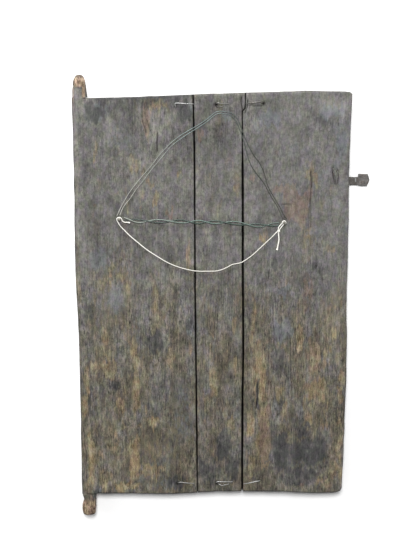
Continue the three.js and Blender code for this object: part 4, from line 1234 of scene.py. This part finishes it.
tongue_outline = arc(eye_centre, eye_outer, -45, 238, 28) + [
    (164.5, 170.2), (168.5, 167.4), (175, 166.2), (186, 166.4), (191.5, 166.1), (192.4, 165.5),
    (204.4, 164.5), (208.4, 173.1), (205.6, 181.5), (193, 181.6), (192.0, 180.6), (191.9, 177.2),
    (186, 176.8), (178, 177.3)]
bpy.ops.object.select_all(action="DESELECT")
bpy.ops.curve.primitive_bezier_curve_add(location=(0, 0, 0))
tongue = bpy.context.object
tongue.name = "latch_tongue_forged"
tongue.data.splines.clear()
tongue.data.dimensions = "2D"
tongue.data.fill_mode = "BOTH"
tongue.data.extrude = (latch_thickness / 2 - 0.35) * MM
tongue.data.bevel_depth = 0.35 * MM
tongue.data.bevel_resolution = 1
tongue.data.offset = -0.35 * MM
for outline in (tongue_outline, arc(eye_centre, eye_inner, 0, 342, 20)):
    spline = tongue.data.splines.new("POLY")
    spline.points.add(len(outline) - 1)
    spline.use_cyclic_u = True
    for point, (px, py) in zip(spline.points, outline):
        point.co = (px * MM, py * MM, 0, 1)
bpy.ops.object.convert(target="MESH")
bpy.ops.transform.translate(value=(0, 0, (latch_top_z - latch_thickness / 2) * MM))
bpy.ops.object.transform_apply(location=True, rotation=True, scale=True)
remesh = tongue.modifiers.new("even faces", "REMESH")
remesh.mode = "VOXEL"
remesh.voxel_size = 0.45 * MM
bpy.ops.object.modifier_apply(modifier=remesh.name)
soften = tongue.modifiers.new("soft edges", "SMOOTH")
soften.iterations = 2
bpy.ops.object.modifier_apply(modifier=soften.name)
knock_out_of_round(tongue, 0.22, 73, cell=4.5)
places = np.empty(len(tongue.data.vertices) * 3)
tongue.data.vertices.foreach_get("co", places)
places = places.reshape(-1, 3)
ridge = np.exp(-((places[:, 0] / MM - 188.6) / 0.8) ** 2)
ridge *= 1 - step_up(np.abs(places[:, 1] / MM - 172.6), 1.8, 3.0)
on_top = places[:, 2] > (latch_top_z - 1.5) * MM
places[:, 2] += np.where(on_top, ridge * 0.6 * MM, 0)
tongue.data.vertices.foreach_set("co", places.ravel())
# Painted highlight along the ridge, and painted shadow on the neck where it lies under the board's edge.
paint(tongue.data, "painted_highlight", ridge * on_top * 0.8)
paint(tongue.data, "shade", 1 - step_up(places[:, 0] / MM, 189.5, 192.5))
tongue.data.update()
bpy.ops.object.shade_smooth()
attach(tongue, "root")
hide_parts("latch_tongue")
print("tongue has", len(tongue.data.polygons), "faces")

# %% [markdown]
# ## The two nails
#
# A hand-made nail has a tapered shank and a lumpy flat head. A short cylinder is extruded
# step by step, and each new ring is scaled, as one would do by hand.

# %% Nails
nail_head_radius = 2.2
nail_top_z = back_z + 7.5
nail_steps = [(4, 1.0), (6, 1.15), (10.4, 1.3), (0.1, nail_head_radius), (0.8, nail_head_radius * 0.98),
              (0.3, nail_head_radius * 0.72)]
for name, (nail_x, nail_y) in (("nail_left", nail_left), ("nail_right", nail_right)):
    bpy.ops.object.select_all(action="DESELECT")
    low = nail_top_z - sum(step for step, _ in nail_steps)
    bpy.ops.mesh.primitive_circle_add(
        vertices=14, radius=0.4 * MM, fill_type="NGON", location=(nail_x * MM, nail_y * MM, low * MM))
    nail = bpy.context.object
    nail.name = name + "_forged"
    bpy.ops.object.transform_apply(location=True, rotation=True, scale=True)
    bpy.ops.object.mode_set(mode="EDIT")
    bpy.ops.mesh.select_all(action="SELECT")
    radius = 0.4
    for rise, next_radius in nail_steps:
        bpy.ops.mesh.extrude_region_move(TRANSFORM_OT_translate={"value": (0, 0, rise * MM)})
        grow = next_radius / radius
        bpy.ops.transform.resize(value=(grow, grow, 1))
        radius = next_radius
    bpy.ops.mesh.select_all(action="SELECT")
    bpy.ops.mesh.normals_make_consistent(inside=False)
    bpy.ops.object.mode_set(mode="OBJECT")
    knock_out_of_round(nail, 0.12, 75, cell=2.0)
    bpy.ops.object.shade_smooth_by_angle(angle=math.radians(40))
    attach(nail, "root")
    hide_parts(name)


# %% Iron material
def forged_iron(name, dark, light, rough):
    material, tree, shader, place = start_material(name, rough, metallic=0.55, specular=0.5)
    scale = noise(tree, place, (2.2, 2.2, 2.2), detail=5, roughness=0.65)
    pits = noise(tree, place, (0.7, 0.7, 0.7), detail=3, roughness=0.6)
    colour = ramp(tree, scale, [(0.3, linear(*dark)), (0.62, linear(*light))])
    rust = ramp(tree, noise(tree, place, (5, 5, 5), detail=4, offset=(4, 2, 7)), [(0.52, 0.0), (0.7, 0.6)])
    colour = mix(tree, rust, colour, linear(92, 66, 50))
    # Painted shade where shade is set, painted highlight on lit legs and on the tongue's ridge, and painted shadow at
    # the holes that the legs go into.
    colour = mix(tree, maths(tree, "MULTIPLY", painted(tree, "shade"), 0.6), colour, linear(84, 80, 74))
    colour = mix(tree, painted(tree, "painted_highlight"), colour, linear(204, 206, 206))
    colour = mix(tree, painted(tree, "crevice_shade"), colour, linear(34, 31, 29))
    tree.links.new(colour, shader.inputs["Base Color"])
    tree.links.new(ramp(tree, scale, [(0.3, rough + 0.12), (0.7, rough - 0.1)]), shader.inputs["Roughness"])
    rough_skin = bump(tree, pits, 0.15, 0.5)
    tree.links.new(bump(tree, scale, 0.5, 0.5, below=rough_skin), shader.inputs["Normal"])
    return material


staple_iron = forged_iron("staple_iron", (104, 102, 100), (170, 168, 164), 0.45)
latch_iron = forged_iron("latch_iron", (80, 77, 75), (124, 121, 118), 0.55)
sunk_iron = forged_iron("sunk_iron", (86, 84, 82), (140, 138, 135), 0.5)
nail_steel = forged_iron("nail_steel", (110, 108, 98), (164, 162, 152), 0.45)
iron_of = {"latch_tongue_forged": latch_iron, "latch_staple_forged": sunk_iron,
           "nail_left_forged": nail_steel, "nail_right_forged": nail_steel}
for piece in bpy.data.objects:
    if piece.name.endswith("_forged"):
        dress(piece, iron_of.get(piece.name, staple_iron))

# %% [markdown]
# ## Coated wire
#
# The wire is soft iron in green plastic. Two strands are twisted and pulled taut between the
# nails, and two more run slack in a pointed loop above. Each strand is a cord of its own, so
# its length can be measured. The twisted pair follows one centreline, with each strand moved
# to one side of it by an angle that grows along the way.


# %% A strand of wire
def lay_strand(name, line, node, diameter):
    bpy.ops.object.select_all(action="DESELECT")
    bpy.ops.curve.primitive_bezier_curve_add(location=(0, 0, 0))
    strand = bpy.context.object
    strand.name = name
    strand.data.splines.clear()
    strand.data.dimensions = "3D"
    strand.data.bevel_depth = diameter / 2 * MM
    strand.data.bevel_resolution = 3
    strand.data.use_fill_caps = True
    spline = strand.data.splines.new("POLY")
    spline.points.add(len(line) - 1)
    for point, place in zip(spline.points, line):
        point.co = (*(float(v) * MM for v in place), 1)
    bpy.ops.object.convert(target="MESH")
    bpy.ops.object.shade_smooth()
    strand = bpy.context.object
    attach(strand, "root")
    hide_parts(node)
    print(name, "is", round(line_length(line)), "mm long")
    return strand


# %% The twisted pair
twist_pitch = 54.0
twist_half_width = 2.1
twist_half_height = 0.75
twist_line = smooth_line(twist_route, 2.0)
twist_side = side_of(twist_line)
twist_along = np.r_[0, np.cumsum(np.linalg.norm(np.diff(twist_line, axis=0), axis=1))]
strands = []
for turn in (0, math.pi):
    angle = 2 * math.pi * (twist_along / twist_pitch + 0.06 * np.sin(twist_along / 17)) + turn + 0.4
    line = twist_line + twist_side * (np.cos(angle) * twist_half_width)[:, None]
    line[:, 2] += np.sin(angle) * twist_half_height
    name = "wire_twisted_a" if turn == 0 else "wire_twisted_b"
    strands.append(lay_strand(name, line, "hanging_wire_twist", strand_diameter))

# %% The slack loop
def settle(line, radius):
    """Lower a line until it rests on the bumps of the wood, except where it joins the nails."""
    wood = back_z - back_hollow(line[:, 0], line[:, 1])
    count = len(line)
    rest = np.array([wood[max(0, i - 3):i + 4].max() for i in range(count)])
    rest = np.array([rest[max(0, i - 3):i + 4].mean() for i in range(count)]) + radius
    free = step_up(np.minimum(np.arange(count), np.arange(count)[::-1]), 1, 8)
    line[:, 2] += (rest - line[:, 2]) * free


for name, route, node in (("wire_loop_outer", outer_route, "hanging_wire_outer"),
                          ("wire_loop_inner", inner_route, "hanging_wire_inner")):
    line = smooth_line(route, 2.5)
    settle(line, loop_diameter / 2)
    strands.append(lay_strand(name, line, node, loop_diameter))


# %% Green plastic, its colour listed along x: one twisted strand painted lit, the other painted in shade, and the loop painted paler toward the left as highlight
def green_plastic(name, colours):
    """The colours are placed along x, in millimetres."""
    material, tree, shader, place = start_material(name, 0.38, specular=0.5)
    split = tree.nodes.new("ShaderNodeSeparateXYZ")
    tree.links.new(place, split.inputs["Vector"])
    low, high = colours[0][0], colours[-1][0]
    share = maths(tree, "MULTIPLY", maths(tree, "SUBTRACT", split.outputs["X"], low * MM),
                  1 / ((high - low) * MM))
    colour = ramp(tree, share, [((x - low) / (high - low), linear(*shade)) for x, shade in colours])
    dirt = noise(tree, place, (7, 7, 7), detail=5, roughness=0.65)
    colour = mix(tree, 1.0, colour, ramp(tree, dirt, [(0.3, 0.68), (0.5, 1.0), (0.7, 1.25)]), "MULTIPLY")
    tree.links.new(colour, shader.inputs["Base Color"])
    tree.links.new(bump(tree, noise(tree, place, (1.2, 1.2, 1.2)), 0.08, 0.5), shader.inputs["Normal"])
    return material


# Painted highlight and painted shade: the two twisted strands are one green plastic, with one copy lit and one shaded.
lit_strand_plastic = green_plastic("lit_strand_plastic", [
    (-142, (156, 160, 150)), (-100, (136, 148, 138)), (-30, (108, 130, 120)), (78, (88, 104, 95))])
shaded_strand_plastic = green_plastic("shaded_strand_plastic", [(-142, (56, 68, 62)), (-60, (52, 72, 63)), (78, (62, 82, 73))])
# The loop is painted paler toward the left nail, as the highlight its wire catches there, and darker green toward the
# right.
loop_strand = green_plastic("loop_strand", [
    (-150, (190, 188, 180)), (-110, (158, 160, 153)), (-75, (148, 154, 148)), (-50, (132, 148, 146)), (-5, (112, 126, 124)),
    (12, (88, 98, 94)), (35, (72, 80, 72)), (50, (62, 66, 58)), (90, (80, 80, 70))])
for strand, plastic in zip(strands, (lit_strand_plastic, shaded_strand_plastic, loop_strand, loop_strand)):
    dress(strand, plastic)

# %% [markdown]
# ## Cotton string
#
# The string is three plies twisted together. At this thickness the plies are best made as
# shape: one closed tube whose section has three lobes and turns as it goes along. It hooks
# over the left nail, sags to the right one, goes round it and comes back to a knot, with a
# short end hanging below.

# %% A tube of twisted plies
string_knot = (78.8, 104.4, string_z + 0.9)
ring_radius = nail_radius + 0.3 + string_diameter / 2


def round_nail(nail, radius, z, start, stop, count):
    angles = np.radians(np.linspace(start, stop, count))
    return [(nail[0] + radius * math.cos(a), nail[1] + radius * math.sin(a), z) for a in angles]


string_places = string_route + [
    string_knot, (78.9, 109, string_z + 1.6), (82.2, 113.6, string_nail_z - 1),
] + round_nail(nail_right, ring_radius, string_nail_z, 190, -100, 7) + [
    (84.6, 111.6, string_nail_z - 1.4), (81.8, 108, string_z + 1.4), (79.2, 103.4, string_z + 0.3),
    (79, 98, string_z + 0.1), (79.4, 91, string_z), (78.2, 83, string_z), (77, 76.4, string_z)]


def ply_tube(name, line, diameter, pitch, thickness, plies=3, around=15):
    """A closed tube of twisted plies along the line, with its thickness given at each point."""
    ways = np.gradient(line, axis=0)
    ways /= np.linalg.norm(ways, axis=1)[:, None]
    side = np.cross(ways, (0, 0, 1))
    side /= np.maximum(np.linalg.norm(side, axis=1), 1e-6)[:, None]
    up = np.cross(side, ways)
    along = np.r_[0, np.cumsum(np.linalg.norm(np.diff(line, axis=0), axis=1))]
    angles = np.linspace(0, 2 * math.pi, around, endpoint=False)
    turn = 2 * math.pi * along / pitch
    lobes = 0.80 + 0.20 * np.abs(np.cos(plies / 2 * angles)) ** 0.8
    from_end = np.minimum(along, along[-1] - along)
    fray = 1 + 0.6 * np.exp(-((from_end - 0.9) / 1.4) ** 2)
    fray *= np.clip(0.5 + from_end, 0, 1)
    radius = diameter / 2 * (thickness * fray)[:, None] * lobes[None, :]
    around_angle = angles[None, :] + turn[:, None]
    rings = (line[:, None, :] + radius[..., None] * (np.cos(around_angle)[..., None] * side[:, None, :]
             + np.sin(around_angle)[..., None] * up[:, None, :]))
    corners = np.vstack([rings.reshape(-1, 3), line[0], line[-1]]) * MM
    count = len(line)
    faces = []
    for ring in range(count - 1):
        for i in range(around):
            j = (i + 1) % around
            faces.append((ring * around + i, ring * around + j, (ring + 1) * around + j,
                          (ring + 1) * around + i))
    start, stop = count * around, count * around + 1
    for i in range(around):
        j = (i + 1) % around
        faces.append((start, j, i))
        faces.append((stop, (count - 1) * around + i, (count - 1) * around + j))
    mesh = bpy.data.meshes.new(name)
    mesh.from_pydata([tuple(c) for c in corners], [], faces)
    piece = bpy.data.objects.new(name, mesh)
    bpy.context.collection.objects.link(piece)
    bpy.ops.object.select_all(action="DESELECT")
    piece.select_set(True)
    bpy.context.view_layer.objects.active = piece
    bpy.ops.object.mode_set(mode="EDIT")
    bpy.ops.mesh.select_all(action="SELECT")
    bpy.ops.mesh.normals_make_consistent(inside=False)
    bpy.ops.object.mode_set(mode="OBJECT")
    bpy.ops.object.shade_smooth()
    return piece


string_line = smooth_line(string_places, 0.55)
sway = np.arange(len(string_line)) * 0.55
string_line += side_of(string_line) * (0.35 * np.sin(sway / 9) * np.sin(sway / 23))[:, None]
past_nail = len(string_line) - 1 - int(54 / 0.55)
thickness = np.full(len(string_line), 0.79)
thickness[past_nail:] = 0.78
thickness[-int(27 / 0.55):] = 1.02
string = ply_tube("string_main", string_line, string_diameter, 5.2, thickness)
string_spots = np.empty(len(string.data.vertices) * 3)
string.data.vertices.foreach_get("co", string_spots)
string_x = string_spots[0::3] / MM
# The string is painted greyer along its middle run than at its ends and knot.
paint(string.data, "middle_grey", 0.8 * step_up(string_x, -138, -40) * (1 - step_up(string_x, 70, 77)))
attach(string, "root")
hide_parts("hanging_string")

# %% The knot, a turn and a half of string round both runs
knot_turns = []
for k in range(26):
    a = 2 * math.pi * k / 13
    knot_turns.append((string_knot[0] + 0.2 + 1.5 * math.cos(a), string_knot[1] - 0.9 + 0.06 * k,
                       string_z + 0.9 + 1.2 * math.sin(a)))
knot_line = smooth_line(knot_turns, 0.5)
knot = ply_tube("string_knot", knot_line, string_diameter * 0.62, 5.2, np.ones(len(knot_line)))
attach(knot, "root")
print("string is", round(line_length(string_line)), "mm long")


# %% Cotton
def white_cotton(name):
    material, tree, shader, place = start_material(name, 0.85, specular=0.2)
    fluff = noise(tree, place, (0.5, 0.5, 0.5), detail=4, roughness=0.7)
    grey = noise(tree, place, (16, 16, 16), detail=3)
    colour = ramp(tree, fluff, [(0.3, (0.66, 0.64, 0.57, 1)), (0.6, (0.88, 0.87, 0.82, 1))])
    colour = mix(tree, ramp(tree, grey, [(0.5, 0.0), (0.75, 0.3)]), colour, (0.45, 0.41, 0.33, 1))
    colour = mix(tree, painted(tree, "middle_grey"), colour, (0.58, 0.56, 0.51, 1))
    tree.links.new(colour, shader.inputs["Base Color"])
    tree.links.new(bump(tree, fluff, 0.12, 0.7), shader.inputs["Normal"])
    return material


cotton = white_cotton("white_cotton")
dress(string, cotton)
dress(knot, cotton)

# %% [markdown]
# ## Floor and light
#
# The photograph has a white ground and broad light from above the top end, so the only
# shadows are soft ones below the bottom edge and the latch. A large pale floor and a big
# area light near the top end do the same, and a bright even world fills the rest.

# %% Floor
bpy.ops.object.select_all(action="DESELECT")
bpy.ops.mesh.primitive_plane_add(size=8, location=(0, 0, -0.0004))
floor = bpy.context.object
floor.name = "pale_floor"
floor_material, floor_tree, floor_shader, _ = start_material("pale_floor", 0.9, specular=0.1)
floor_shader.inputs["Base Color"].default_value = (0.98, 0.98, 0.98, 1)
floor.data.materials.append(floor_material)


# %% Lights
def area_light(name, place, aim_at, size, power):
    bpy.ops.object.select_all(action="DESELECT")
    bpy.ops.object.light_add(type="AREA", location=place)
    light = bpy.context.object
    light.name = name
    light.data.shape = "RECTANGLE"
    light.data.size, light.data.size_y = size
    light.data.energy = power
    way = Vector(aim_at) - Vector(place)
    light.rotation_euler = way.to_track_quat("-Z", "Y").to_euler()
    return light


area_light("top_window", (-0.6, 2.3, 0.95), (0, 0, 0), (0.9, 0.5), 44)
area_light("left_window", (-1.9, 0.3, 1.2), (0, 0, 0), (0.8, 1.4), 5)
area_light("ceiling", (-0.05, 1.0, 2.35), (0, 0, 0), (0.5, 0.6), 61)
world = bpy.data.worlds.new("studio")
world.use_nodes = True
world.node_tree.nodes["Background"].inputs["Color"].default_value = (1, 1, 1, 1)
world.node_tree.nodes["Background"].inputs["Strength"].default_value = 0.31
bpy.context.scene.world = world

# %%
import json
